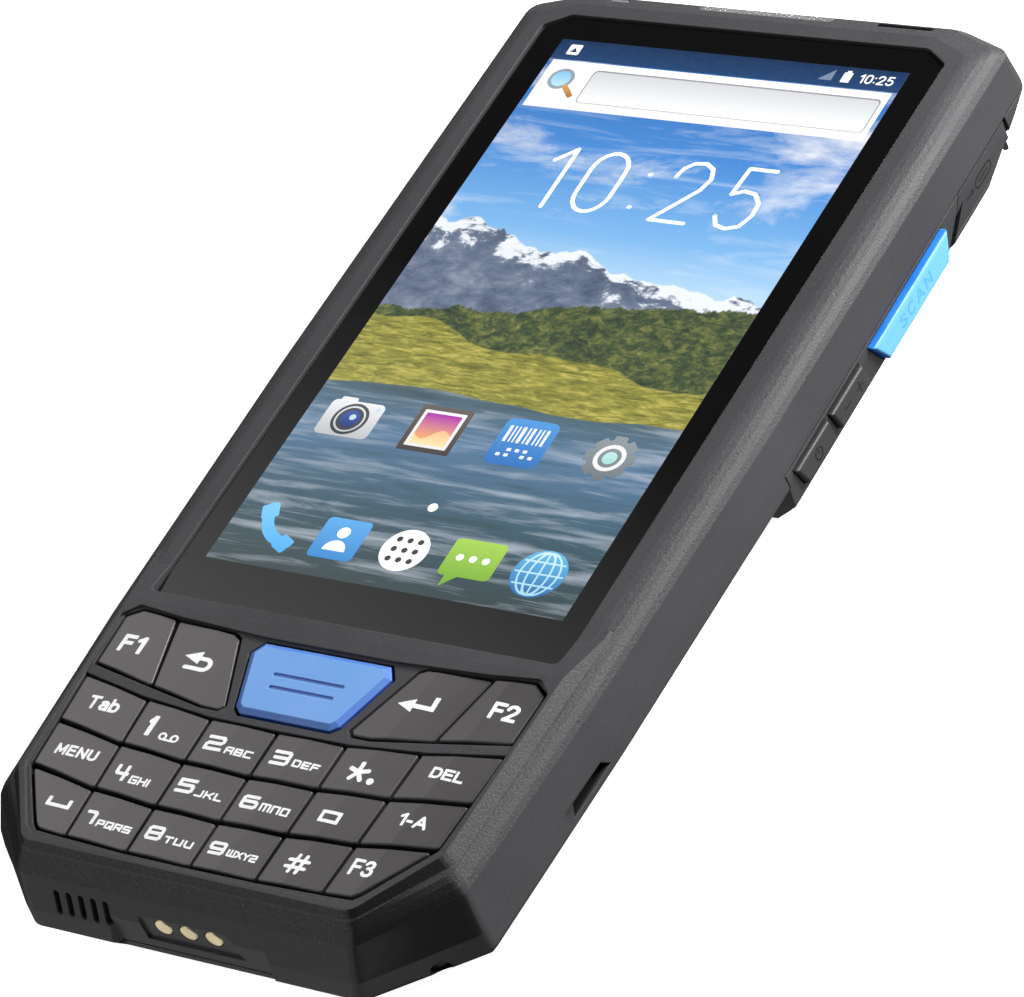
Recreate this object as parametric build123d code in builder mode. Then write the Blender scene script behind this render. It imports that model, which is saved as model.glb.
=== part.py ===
from build123d import *
import math
import os

os.makedirs("parts", exist_ok=True)

# ---------------------------------------------------------------- driving dimensions (mm)
# Plan positions (x, y) are counted from the centre of the screen, heights z from the glass
# face. Y0 and Z0 move them to the part's own origin: the middle of the back.
Y0 = 21.0  # screen centre, ahead of the middle of the length
Z0 = 15.9  # glass datum above the flat back

RIM_Z = 0.6  # bezel around the glass
KEY_RIM_Z = 1.6  # raised rim around the keypad
SEAM_Z = -7.6  # housing seam beside the screen
LOW_SEAM_Z = -9.6  # housing seam beside the keypad
STEP_Y = -15.6  # where the seam steps down
SEAM_GAP = 0.22
CEILING_Z = -2.6  # underside of the front housing's ledge and key deck
BACK_Z = -15.9

GLASS_TOP = 0.2
GLASS_THICK = 1.15
ACTIVE_W, ACTIVE_H = 55.8, 99.2  # 4.5 inch, 16:9

KEY_TOP = 1.35
KEY_BOTTOM = -2.1
KEY_TRAVEL = 0.45
KEY_GAP = 0.28  # half the gap between two keys
WINDOW_GAP = 0.42  # key to housing
BUTTON_GAP = 0.15  # side button to housing

BATTERY = (51.0, 69.0, 5.65)
SCREW_R, SCREW_HOLE_R = 0.95, 1.0
HOUSING_SCREWS = [(30.2, 30.0), (30.2, -22.0), (27.0, -86.5)]
FRAME_SCREWS = [(33.2, 44.0), (33.2, -8.0), (33.2, -52.0)]
COVER_SCREWS = [(22.0, -5.2), (22.0, -80.8)]
HINGE_X, HINGE_Y = 38.35, 50.0  # port cover hinge


def P(x, y):
    """Plan position, screen centre to part origin."""
    return (x, y + Y0)


def H(z):
    """Height, glass face to part origin."""
    return z + Z0


def level(z):
    return Plane.XY.offset(H(z))


def outline(sk, half, radii):
    """Closed outline from its right-hand points, top edge to bottom edge, corners rounded."""
    pts = [P(x, y) for x, y in half] + [P(-x, y) for x, y in reversed(half)]
    Polygon(*pts, align=(Align.NONE, Align.NONE))
    for (x, y), r in zip(half, radii):
        if r:
            picked = [
                v
                for v in sk.vertices()
                for s in (1, -1)
                if (Vector(v.X, v.Y, 0) - Vector(s * x, y + Y0, 0)).length < 1e-3
            ]
            fillet(picked, r)


def poly(pts):
    Polygon(*[P(x, y) for x, y in pts], align=(Align.NONE, Align.NONE))


def finish(bp, name):
    bp.part.label = name
    export_step(bp.part, "parts/" + name + ".step")
    box = bp.part.bounding_box()
    print(
        "%-24s solids %2d volume %9.2f  z %.2f to %.2f"
        % (name, len(bp.part.solids()), bp.part.volume, box.min.Z, box.max.Z)
    )


# ---------------------------------------------------------------- outer form
# Outlines at rising heights: long straight sides, the lower corners cut back at about 45
# degrees, the upper corners at about 20, and a convex bevel band around the front.
RADII = [6.0, 2.4, 0, 0, 2.6, 2.6]
BODY_LEVELS = [
    (BACK_Z, [(28.5, 53.5), (34.9, 50.5), (35.6, -15.0), (35.3, -60.0), (33.4, -87.0), (23.6, -96.6)]),
    (-13.1, [(30.5, 59.4), (38.8, 56.4), (39.2, -15.0), (38.7, -60.0), (36.8, -89.8), (24.5, -100.2)]),
    (-9.2, [(30.8, 61.1), (39.2, 57.9), (39.55, -15.0), (39.0, -60.0), (38.0, -92.1), (25.0, -103.1)]),
    (-6.8, [(30.8, 61.1), (39.0, 58.0), (39.35, -15.0), (38.75, -60.0), (37.5, -91.8), (25.5, -102.5)]),
    (-1.9, [(30.2, 60.5), (38.6, 57.4), (38.5, -15.0), (37.55, -60.0), (36.0, -90.1), (25.9, -100.7)]),
    (-1.1, [(29.9, 59.9), (38.05, 56.9), (37.95, -15.0), (37.05, -60.0), (35.5, -89.7), (25.8, -100.2)]),
    (-0.42, [(29.6, 59.2), (37.4, 56.0), (37.25, -15.0), (36.35, -60.0), (34.9, -89.2), (25.6, -99.7)]),
    (0.1, [(29.15, 57.8), (36.5, 54.7), (36.3, -15.0), (35.45, -60.0), (34.2, -88.8), (25.4, -99.3)]),
    (0.42, [(28.8, 56.9), (35.6, 53.9), (35.35, -15.0), (34.55, -60.0), (33.6, -88.4), (25.3, -99.1)]),
    (RIM_Z, [(28.6, 56.4), (34.75, 53.4), (34.45, -15.0), (33.7, -60.0), (33.0, -88.0), (25.2, -98.9)]),
]
with BuildPart() as envelope:
    for z, half in BODY_LEVELS:
        with BuildSketch(level(z)) as sk:
            outline(sk, half, RADII)
    loft(ruled=True)
    # raised frame around the keypad, rising out of the bezel in a ramp
    with BuildPart(mode=Mode.PRIVATE) as raised:
        for z, half in [
            (-0.9, [(36.6, -50.0), (35.0, -88.6), (25.5, -99.7)]),
            (KEY_RIM_Z, [(34.2, -50.0), (32.85, -87.5), (25.2, -98.1)]),
        ]:
            with BuildSketch(level(z)) as sk:
                outline(sk, half, [0, 2.6, 2.6])
        loft(ruled=True)
        with BuildSketch(Plane.YZ.offset(-50)):
            Polygon(
                (-40 + Y0, H(RIM_Z - 0.1)),
                (-51.5 + Y0, H(RIM_Z - 0.1)),
                (-59.5 + Y0, H(KEY_RIM_Z + 0.05)),
                (-59.5 + Y0, H(8)),
                (-40 + Y0, H(8)),
                align=(Align.NONE, Align.NONE),
            )
        extrude(amount=100, mode=Mode.SUBTRACT)
    add(raised.part)
    # large chamfer along the rear of the lower body, both sides, following its taper
    for s in (1, -1):
        for y, x in ((STEP_Y, 39.5), (-60.0, 38.95), (-115.0, 37.3)):
            with BuildSketch(Plane.XZ.offset(-(y + Y0))):
                Polygon(
                    (s * x, H(-9.75)),
                    (s * (x - 6.45), H(-16.0)),
                    (s * (x - 6.45), H(-20.0)),
                    (s * (x + 6.5), H(-20.0)),
                    (s * (x + 6.5), H(-9.75)),
                    align=(Align.NONE, Align.NONE),
                )
        loft(ruled=True, mode=Mode.SUBTRACT)
        # the same chamfer across the cut corner
        a, b = Vector(s * 38.0, -92.1 + Y0, H(-9.75)), Vector(s * 25.0, -103.0 + Y0, H(-9.75))
        n = Vector(s * 0.642, -0.766, -1.2).normalized()
        with BuildSketch(Plane(origin=(a + b) * 0.5, x_dir=(b - a).normalized(), z_dir=n)):
            Rectangle(60, 60)
        extrude(amount=30, mode=Mode.SUBTRACT)
    # facets at the two rear corners beside the scanner
    for s in (1, -1):
        a, b, c = Vector(s * 39.3, 43 + Y0, H(-12.9)), Vector(s * 38.9, 57.8 + Y0, H(-7.6)), Vector(s * 27, 55 + Y0, H(-15.9))
        n = (b - a).cross(c - a).normalized()
        if n.Z > 0:
            n = n * -1
        with BuildSketch(Plane(origin=a, x_dir=(b - a).normalized(), z_dir=n)):
            Rectangle(120, 120)
        extrude(amount=40, mode=Mode.SUBTRACT)
    # dock recess across the bottom end
    with BuildSketch(level(-20)):
        poly([(-13.2, -104), (-11.8, -101.95), (11.8, -101.95), (13.2, -104)])
    extrude(amount=16, mode=Mode.SUBTRACT)
print("envelope", envelope.part.volume, envelope.part.is_valid, envelope.part.bounding_box())

GLASS = [(28.6, 54.0), (32.3, 51.5), (31.6, -57.0)]
KEY_WELL = [(10.0, -61.3), (24.0, -60.6), (31.1, -59.85), (33.2, -61.9), (32.95, -70.0), (32.0, -87.2), (25.9, -95.9), (24.1, -97.05), (8.0, -97.45)]

# ---------------------------------------------------------------- key outlines
TOP1 = [(0, -75.0), (11, -74.9), (21.4, -73.85), (32, -71.95)]
BOT1 = [(0, -81.85), (11, -81.6), (21.2, -80.85), (32, -79.15)]
TOP2 = [(0, -82.4), (11, -82.15), (21, -81.4), (32, -79.75)]
BOT2 = [(0, -89.15), (11, -88.9), (20.9, -88.2), (31.2, -86.6)]
TOP3 = [(0, -89.75), (11, -89.5), (20.7, -88.8), (31.2, -87.15)]
BOT3 = [(0, -96.45), (10, -96.4), (20.3, -96.05), (26, -95.7)]


def along(table, x):
    x = abs(x)
    for (xa, ya), (xb, yb) in zip(table, table[1:]):
        if x <= xb:
            return ya + (yb - ya) * (x - xa) / (xb - xa)
    (xa, ya), (xb, yb) = table[-2:]
    return yb + (yb - ya) * (x - xb) / (xb - xa)


def column(i, y):
    """Centre of the gap left of column i (0..6) at height y on the keypad."""
    t = (y + 74.0) / -22.0
    side = {0: 32.1 - 1.6 * t, 1: 21.15 - 1.35 * t, 2: 10.5 - 0.55 * t, 3: 0.0}
    k = i if i <= 3 else 6 - i
    return -side[k] if i <= 3 else side[k]


def grid_key(col, top, bot):
    yt, yb = along(top, column(col, -80)), along(bot, column(col, -80))
    yt2, yb2 = along(top, column(col + 1, -80)), along(bot, column(col + 1, -80))
    gl = 0.0 if col == 0 else KEY_GAP
    gr = 0.0 if col == 5 else KEY_GAP
    xa, xb = column(col, yt) + gl, column(col, yb) + gl
    xc, xd = column(col + 1, yt2) - gr, column(col + 1, yb2) - gr
    return [(xa, yt), (xc, yt2), (xd, yb2), (xb, yb)]


ROWS = [
    (TOP1, BOT1, ["key_tab", "key_1", "key_2", "key_3", "key_star", "key_del"]),
    (TOP2, BOT2, ["key_menu", "key_4", "key_5", "key_6", "key_0", "key_alpha"]),
    (TOP3, BOT3, ["key_space", "key_7", "key_8", "key_9", "key_hash", "key_f3"]),
]
KEYS = {}
KEYS["key_f1"] = [(-32.5, -61.85), (-30.4, -60.45), (-24.9, -60.95), (-22.2, -71.5), (-32.1, -69.7)]
KEYS["key_back"] = [(-24.35, -61.05), (-15.1, -61.5), (-14.05, -62.1), (-9.9, -72.4), (-10.5, -73.05), (-13.2, -73.05), (-21.65, -71.6)]
KEYS["key_scan"] = [(-9.7, -62.05), (9.7, -62.05), (10.9, -63.9), (8.0, -72.3), (7.0, -73.15), (-7.0, -73.15), (-8.0, -72.3), (-10.9, -63.9)]
KEYS["key_enter"] = [(-x, y) for x, y in reversed(KEYS["key_back"])]
KEYS["key_f2"] = [(-x, y) for x, y in reversed(KEYS["key_f1"])]
for top, bot, names in ROWS:
    for col, name in enumerate(names):
        KEYS[name] = grid_key(col, top, bot)
# the two lowest outer keys follow the cut corners of the housing
xs = column(1, -96.2) - KEY_GAP
KEYS["key_space"] = [(-30.8, -87.2), (column(1, -89) - KEY_GAP, -88.78), (xs, -96.03), (-24.2, -95.8), (-25.0, -95.1)]
KEYS["key_f3"] = [(-x, y) for x, y in reversed(KEYS["key_space"])]

# ---------------------------------------------------------------- front housing
CAVITY = [(30.0, 58.6), (36.0, 56.2), (36.4, -48.0), (35.0, -85.6), (24.9, -98.9)]
with BuildPart() as front_housing:
    add(envelope.part)
    with BuildSketch(level(SEAM_Z)):
        with Locations(P(0, STEP_Y + 50)):
            Rectangle(120, 100)
    extrude(amount=-40, mode=Mode.SUBTRACT)
    with BuildSketch(level(LOW_SEAM_Z)):
        with Locations(P(0, STEP_Y - 60)):
            Rectangle(120, 120)
    extrude(amount=-40, mode=Mode.SUBTRACT)
    # hollow inside
    with BuildSketch(level(-12)) as sk:
        outline(sk, CAVITY, [4, 2, 0, 5, 5])
    extrude(amount=12 + CEILING_Z, mode=Mode.SUBTRACT)
    # seat for the cover glass, and the display window through its ledge
    with BuildSketch(level(GLASS_TOP - GLASS_THICK)) as sk:
        outline(sk, [(28.7, 54.15), (32.45, 51.6), (31.75, -57.15)], [2.0, 1.0, 1.0])
    extrude(amount=8, mode=Mode.SUBTRACT)
    with BuildSketch(level(-4)) as sk:
        outline(sk, [(29.7, 52.3), (30.4, 51.7), (30.4, -54.6)], [0.2, 0.2, 0.5])
    extrude(amount=6, mode=Mode.SUBTRACT)
    # key well inside the raised rim, then the windows through the key deck
    with BuildSketch(level(1.15)) as sk:
        outline(sk, KEY_WELL, [0, 0, 0.8, 0.8, 0, 2.5, 0.8, 0.8, 0])
    extrude(amount=4, mode=Mode.SUBTRACT)
    with BuildSketch(level(CEILING_Z - 0.5)):
        for pts in KEYS.values():
            poly(pts)
        offset(amount=WINDOW_GAP, kind=Kind.INTERSECTION)
    extrude(amount=6, mode=Mode.SUBTRACT)
    # posts for the mid frame screws
    with BuildSketch(level(CEILING_Z + 0.2)):
        for x, y in FRAME_SCREWS:
            for s in (1, -1):
                with Locations(P(s * x, y)):
                    Circle(1.9)
    extrude(until=None, amount=-(CEILING_Z + 0.2 + 4.4))
    with BuildSketch(level(-4.4)):
        for x, y in FRAME_SCREWS:
            for s in (1, -1):
                with Locations(P(s * x, y)):
                    Circle(0.75)
    extrude(amount=1.6, mode=Mode.SUBTRACT)
    # walls and channels of the two strap slots
    for s in (1, -1):
        with BuildSketch(level(LOW_SEAM_Z)):
            with Locations(P(s * 35.3, -67.2)):
                Rectangle(3.6, 12.2)
        extrude(amount=3.9)
        with BuildSketch(level(-20)):
            with Locations(P(s * 36.1, -67.2)):
                Rectangle(2.1, 8.8)
        extrude(amount=13.1, mode=Mode.SUBTRACT)
        with BuildSketch(Plane.YZ.offset(s * 36.0)):
            Polygon((-71.7 + Y0, H(-8.75)), (-62.7 + Y0, H(-8.75)), (-64.1 + Y0, H(-7.15)), (-70.8 + Y0, H(-7.15)), align=(Align.NONE, Align.NONE))
        extrude(amount=s * 6, mode=Mode.SUBTRACT)
        # lanyard hole through the lower corner
        with BuildSketch(Plane(origin=(s * 33.7, -97.0 + Y0, H(-9.6)), x_dir=(s * 0.74, 0.67, 0), z_dir=(s * 0.67, -0.74, 0))):
            Circle(1.5)
        extrude(amount=3, both=True, mode=Mode.SUBTRACT)
    # loudspeaker slots
    with BuildSketch(Plane.XZ.offset(98.0 - Y0)):
        for i in range(5):
            with Locations((-16.2 + 1.95 * (i - 2), H(-5.0))):
                SlotOverall(3.3, 0.9, rotation=90)
    extrude(amount=8, mode=Mode.SUBTRACT)
    # contact pocket and the three contact bores
    with BuildSketch(Plane.XZ.offset(101.55 - Y0)):
        Polygon((-7.2, H(-3.9)), (5.6, H(-3.9)), (6.9, H(-5.0)), (7.9, H(-8.2)), (-7.2, H(-8.2)), align=(Align.NONE, Align.NONE))
    extrude(amount=4, mode=Mode.SUBTRACT)
    with BuildSketch(Plane.XZ.offset(98.0 - Y0)):
        with GridLocations(3.9, 1, 3, 1):
            with Locations((0, H(-5.6))):
                Circle(1.36)
    extrude(amount=8, mode=Mode.SUBTRACT)
    # earpiece slot, light pipe slot and sensor slot along the top bevel
    top_plane = Plane(origin=(0, 58.75 + Y0, H(-0.24)), x_dir=(1, 0, 0), z_dir=(0, 0.40, 0.917))
    with BuildSketch(top_plane.offset(-1.1)):
        with Locations((0.5, 0)):
            SlotOverall(21.8, 1.7)
    extrude(amount=4, mode=Mode.SUBTRACT)
    with BuildSketch(top_plane.offset(-3.0)):
        with Locations((0.5, -0.2)):
            SlotOverall(14.0, 0.8)
    extrude(amount=4, mode=Mode.SUBTRACT)
    with BuildSketch(top_plane.offset(-0.9)):
        with Locations((22.6, -0.35)):
            SlotOverall(8.8, 0.95)
        with Locations((-23.4, -0.35)):
            SlotOverall(3.0, 0.95)
    extrude(amount=4, mode=Mode.SUBTRACT)
    # scanner opening in the top end
    with BuildSketch(Plane.XZ.offset(-(57.4 + Y0))):
        with Locations((0, H(-8.9))):
            RectangleRounded(29.0, 8.6, 1.2)
    extrude(amount=-8, mode=Mode.SUBTRACT)
finish(front_housing, "front_housing")

# ---------------------------------------------------------------- rear housing
FLAP_BLOCK = [(50.9, -7.9), (36.3, -7.9), (31.6, -12.4), (50.9, -12.4)]  # y, z
TRIGGER = [(30.4, -8.4), (28.7, -12.5), (10.6, -12.5), (8.2, -8.4)]
BUTTON_A = [(5.2, -8.4), (5.6, -11.9), (-2.6, -11.9), (-3.7, -8.4)]
BUTTON_B = [(-4.7, -8.4), (-4.4, -11.9), (-12.4, -11.9), (-13.7, -8.4)]
WELL = (25.9, -77.9, -8.1)  # half width, y low, y high


def yz(pts):
    Polygon(*[(y + Y0, H(z)) for y, z in pts], align=(Align.NONE, Align.NONE))


with BuildPart() as rear_housing:
    add(envelope.part)
    with BuildSketch(level(SEAM_Z - SEAM_GAP)):
        with Locations(P(0, STEP_Y + SEAM_GAP + 50)):
            Rectangle(120, 100)
    extrude(amount=40, mode=Mode.SUBTRACT)
    with BuildSketch(level(LOW_SEAM_Z - SEAM_GAP)):
        with Locations(P(0, STEP_Y + SEAM_GAP - 60)):
            Rectangle(120, 120)
    extrude(amount=40, mode=Mode.SUBTRACT)
    # upper hollow for the boards, scanner and camera
    with BuildSketch(level(-14.4)):
        poly([(-24.5, 57.0), (24.5, 57.0), (32.4, 45), (36.0, 38), (36.0, -3.6), (-36.0, -3.6), (-36.0, 38), (-32.4, 45)])
    extrude(amount=10, mode=Mode.SUBTRACT)
    # pocket behind the two right-hand buttons
    with BuildSketch(level(-12.8)):
        poly([(32.6, -3.0), (36.0, -3.0), (36.0, -14.4), (32.6, -14.4)])
    extrude(amount=8, mode=Mode.SUBTRACT)
    # bottom hollow behind the loudspeaker and contacts
    with BuildSketch(level(-14.2)):
        poly([(-28, -81.6), (28, -81.6), (29.5, -85), (22, -94.6), (-22, -94.6), (-29.5, -85)])
    extrude(amount=10, mode=Mode.SUBTRACT)
    # side hollows beside the battery
    with BuildSketch(level(-12.4)):
        for s in (1, -1):
            poly([(s * 28.6, -17.2), (s * 34.6, -17.2), (s * 34.6, -60.5), (s * 28.6, -60.5)])
    extrude(amount=8, mode=Mode.SUBTRACT)
    # battery tray: walls and floor standing up inside the front housing
    with BuildSketch(level(-10.2)):
        poly([(-27.5, -79.5), (27.5, -79.5), (27.5, -6.5), (-27.5, -6.5)])
    extrude(amount=2.4)
    # battery well and the seat for its cover
    with BuildSketch(level(-16.5)):
        with Locations(P(0, (WELL[1] + WELL[2]) / 2)):
            RectangleRounded(2 * WELL[0], WELL[2] - WELL[1], 1.5)
    extrude(amount=7.9, mode=Mode.SUBTRACT)
    with BuildSketch(level(-16.5)):
        with Locations(P(0, -43.0)):
            RectangleRounded(55.9, 81.3, 3.15)
    extrude(amount=2.0, mode=Mode.SUBTRACT)
    with BuildSketch(level(-14.6)):
        for x, y in COVER_SCREWS:
            for s in (1, -1):
                with Locations(P(s * x, y)):
                    Circle(0.85)
    extrude(amount=3.0, mode=Mode.SUBTRACT)
    # screw columns with counterbored holes
    with BuildSketch(level(-14.45)):
        for x, y in HOUSING_SCREWS:
            for s in (1, -1):
                with Locations(P(s * x, y)):
                    Circle(2.6)
    extrude(amount=14.45 - 8.05)
    with BuildSketch(level(-16.5)):
        for x, y in HOUSING_SCREWS:
            for s in (1, -1):
                with Locations(P(s * x, y)):
                    Circle(2.05)
    extrude(amount=3.5, mode=Mode.SUBTRACT)
    with BuildSketch(level(-14)):
        for x, y in HOUSING_SCREWS:
            for s in (1, -1):
                with Locations(P(s * x, y)):
                    Circle(SCREW_HOLE_R + 0.1)
    extrude(amount=8, mode=Mode.SUBTRACT)
    # strap channels and lanyard holes
    for s in (1, -1):
        with BuildSketch(level(-20)):
            with Locations(P(s * 36.1, -67.2)):
                Rectangle(2.1, 8.8)
        extrude(amount=12.0, mode=Mode.SUBTRACT)
        with BuildSketch(Plane(origin=(s * 33.7, -97.0 + Y0, H(-9.6)), x_dir=(s * 0.74, 0.67, 0), z_dir=(s * 0.67, -0.74, 0))):
            Circle(1.5)
        extrude(amount=3, both=True, mode=Mode.SUBTRACT)
    # scanner opening in the top end
    with BuildSketch(Plane.XZ.offset(-(56.0 + Y0))):
        with Locations((0, H(-8.9))):
            RectangleRounded(29.0, 8.6, 1.2)
    extrude(amount=-8, mode=Mode.SUBTRACT)
    # camera and flash openings in the back
    with BuildSketch(level(-17)):
        with Locations(P(-16, 30)):
            Circle(4.6)
        with Locations(P(-5.5, 30)):
            Circle(2.2)
    extrude(amount=4, mode=Mode.SUBTRACT)
    # scan trigger openings, both sides, and the two button openings on the right
    for s in (1, -1):
        with BuildSketch(Plane.YZ.offset(s * 35.5)):
            yz(TRIGGER)
            offset(amount=BUTTON_GAP, kind=Kind.INTERSECTION)
        extrude(amount=s * 8, mode=Mode.SUBTRACT)
    with BuildSketch(Plane.YZ.offset(35.5)):
        yz(BUTTON_A)
        yz(BUTTON_B)
        offset(amount=BUTTON_GAP, kind=Kind.INTERSECTION)
    extrude(amount=8, mode=Mode.SUBTRACT)
    # pocket for the port cover, its hinge seat, the finger notch and the socket opening
    with BuildSketch(Plane.YZ.offset(37.35)):
        yz(FLAP_BLOCK)
        offset(amount=0.15, kind=Kind.INTERSECTION)
    extrude(amount=8, mode=Mode.SUBTRACT)
    with BuildSketch(level(-12.55)):
        with Locations(P(HINGE_X, HINGE_Y)):
            Circle(0.98)
    extrude(amount=4.8, mode=Mode.SUBTRACT)
    with BuildSketch(Plane.YZ.offset(38.2)):
        yz([(36.6, -9.3), (34.0, -9.9), (29.9, -13.6), (30.6, -14.4), (31.9, -13.6)])
    extrude(amount=4, mode=Mode.SUBTRACT)
    with BuildSketch(Plane.YZ.offset(29.0)):
        yz([(46.7, -8.3), (46.7, -11.65), (37.3, -11.65), (37.3, -8.3)])
    extrude(amount=10, mode=Mode.SUBTRACT)
    with BuildSketch(level(-14.45)):
        with Locations(P(32.0, 42.0)):
            Rectangle(5.0, 9.0)
    extrude(amount=2.85)
finish(rear_housing, "rear_housing")

# ---------------------------------------------------------------- seal between the housings
with BuildPart() as housing_seal:
    with BuildSketch(level(SEAM_Z - SEAM_GAP)) as sk:
        outline(sk, [(30.3, 59.9), (37.0, 57.1), (37.25, STEP_Y)], [4, 1.5, 0])
        Polygon(*[P(x, y) for x, y in [(-30.1, 59.1), (30.1, 59.1), (36.3, 56.6), (36.6, STEP_Y - 1), (-36.6, STEP_Y - 1), (-36.3, 56.6)]], align=(Align.NONE, Align.NONE), mode=Mode.SUBTRACT)
        Polygon(*[P(x, y) for x, y in [(-16, 50), (16, 50), (16, 66), (-16, 66)]], align=(Align.NONE, Align.NONE), mode=Mode.SUBTRACT)
    extrude(amount=SEAM_GAP)
    # risers at the step
    for s in (1, -1):
        with BuildSketch(level(LOW_SEAM_Z - SEAM_GAP)):
            with Locations(P(s * 37.1, STEP_Y + SEAM_GAP / 2)):
                Rectangle(1.0, SEAM_GAP)
        extrude(amount=SEAM_Z - LOW_SEAM_Z + SEAM_GAP)
    # lower loop, jogging inwards behind the strap channels
    with BuildSketch(level(LOW_SEAM_Z - SEAM_GAP)) as sk:
        outline(sk, [(37.6, STEP_Y + SEAM_GAP), (37.6, -48.0), (36.1, -86.0), (25.5, -99.9)], [0, 0, 5, 5])
        Polygon(*[P(x, y) for x, y in [(-36.7, STEP_Y + 1), (36.7, STEP_Y + 1), (36.7, -48), (35.3, -85.8), (25.1, -99.2), (-25.1, -99.2), (-35.3, -85.8), (-36.7, -48)]], align=(Align.NONE, Align.NONE), mode=Mode.SUBTRACT)
        for s in (1, -1):
            with Locations(P(s * 37.4, -67.2)):
                Rectangle(5.4, 9.6, mode=Mode.SUBTRACT)
            with Locations(P(s * 34.25, -67.2)):
                Rectangle(0.9, 11.2)
            with Locations(P(s * 35.7, -62.0), P(s * 35.7, -72.4)):
                Rectangle(3.6, 0.8)
    extrude(amount=SEAM_GAP)
finish(housing_seal, "housing_seal")

# ---------------------------------------------------------------- screen stack
with BuildPart() as cover_glass:
    with BuildSketch(level(GLASS_TOP - GLASS_THICK)) as sk:
        outline(sk, GLASS, [2.0, 1.0, 1.0])
    extrude(amount=GLASS_THICK)
    chamfer(cover_glass.faces().sort_by(Axis.Z)[-1].edges(), 0.2)
finish(cover_glass, "cover_glass")

with BuildPart() as display_panel:
    with BuildSketch(level(-3.0)):
        with Locations(P(0, -0.9)):
            Rectangle(58.4, 105.0)
    extrude(amount=2.0)
finish(display_panel, "display_panel")

with BuildPart() as backlight:
    with BuildSketch(level(-4.35)):
        with Locations(P(0, -0.9)):
            RectangleRounded(59.4, 105.6, 0.8)
    extrude(amount=1.3)
    chamfer(backlight.faces().sort_by(Axis.Z)[0].edges(), 0.25)
finish(backlight, "backlight")

# ---------------------------------------------------------------- mid frame
with BuildPart() as mid_frame:
    with BuildSketch(level(-5.3)) as sk:
        outline(sk, [(30.0, 53.5), (35.6, 53.5), (36.0, -48.0), (34.6, -85.4), (24.7, -98.4)], [0, 2, 0, 5, 5])
        with Locations(P(0, -98.4)):
            Rectangle(13.4, 6.4, mode=Mode.SUBTRACT)
        for s in (1, -1):
            with Locations(P(s * 35.4, -67.2)):
                Rectangle(4.0, 13.2, mode=Mode.SUBTRACT)
    extrude(amount=0.9)
    with BuildSketch(level(-5.3)):
        for x, y in HOUSING_SCREWS:
            for s in (1, -1):
                with Locations(P(s * x, y)):
                    Circle(2.2)
    extrude(amount=-2.7)
    with BuildSketch(level(-8.0)):
        for x, y in HOUSING_SCREWS:
            for s in (1, -1):
                with Locations(P(s * x, y)):
                    Circle(SCREW_HOLE_R)
    extrude(amount=2.5, mode=Mode.SUBTRACT)
    with BuildSketch(level(-5.3)):
        for x, y in [(24.5, 0.0), (24.5, 50.0)]:
            for s in (1, -1):
                with Locations(P(s * x, y)):
                    Circle(1.5)
    extrude(amount=-1.1)
    with BuildSketch(level(-6)):
        for x, y in FRAME_SCREWS:
            for s in (1, -1):
                with Locations(P(s * x, y)):
                    Circle(0.85)
    extrude(amount=3, mode=Mode.SUBTRACT)
finish(mid_frame, "mid_frame")

with BuildPart() as frame_screws:
    for x, y in FRAME_SCREWS:
        for s in (1, -1):
            with BuildSketch(level(-5.3)):
                with Locations(P(s * x, y)):
                    Circle(1.5)
            extrude(amount=-0.8)
            with BuildSketch(level(-5.3)):
                with Locations(P(s * x, y)):
                    Circle(0.7)
            extrude(amount=2.3)
            with BuildSketch(level(-6.1)):
                with Locations(P(s * x, y)):
                    Rectangle(1.6, 0.3)
                    Rectangle(0.3, 1.6)
            extrude(amount=0.4, mode=Mode.SUBTRACT)
finish(frame_screws, "frame_screws")

with BuildPart() as housing_screws:
    for x, y in HOUSING_SCREWS:
        for s in (1, -1):
            with BuildSketch(level(-13.0)):
                with Locations(P(s * x, y)):
                    Circle(1.9)
            extrude(amount=-1.8)
            with BuildSketch(level(-13.0)):
                with Locations(P(s * x, y)):
                    Circle(SCREW_R)
            extrude(amount=7.2)
            with BuildSketch(level(-14.8)):
                with Locations(P(s * x, y)):
                    RegularPolygon(1.05, 6)
            extrude(amount=0.9, mode=Mode.SUBTRACT)
finish(housing_screws, "housing_screws")

# ---------------------------------------------------------------- keypad
MAT = [(32.6, -60.6), (32.6, -70.0), (31.8, -86.2), (24.6, -96.4)]
with BuildPart() as keypad_mat:
    with BuildSketch(level(-3.1)) as sk:
        outline(sk, [(33.4, -60.2), (33.4, -70.0), (32.6, -86.2), (25.0, -97.6)], [1, 0, 3, 3])
    extrude(amount=0.5)
finish(keypad_mat, "keypad_mat")

with BuildPart() as dome_switches:
    for pts in KEYS.values():
        cx = sum(x for x, y in pts) / len(pts)
        cy = sum(y for x, y in pts) / len(pts)
        with Locations((cx, cy + Y0, H(-3.25))):
            Cone(2.2, 1.5, 0.3)
finish(dome_switches, "dome_switches")

with BuildPart() as keypad_board:
    with BuildSketch(level(-4.4)) as sk:
        outline(sk, [(32.8, -60.6), (32.8, -70.0), (31.9, -86.2), (24.6, -97.2)], [1, 0, 3, 3])
    extrude(amount=1.0)
finish(keypad_board, "keypad_board")


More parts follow.
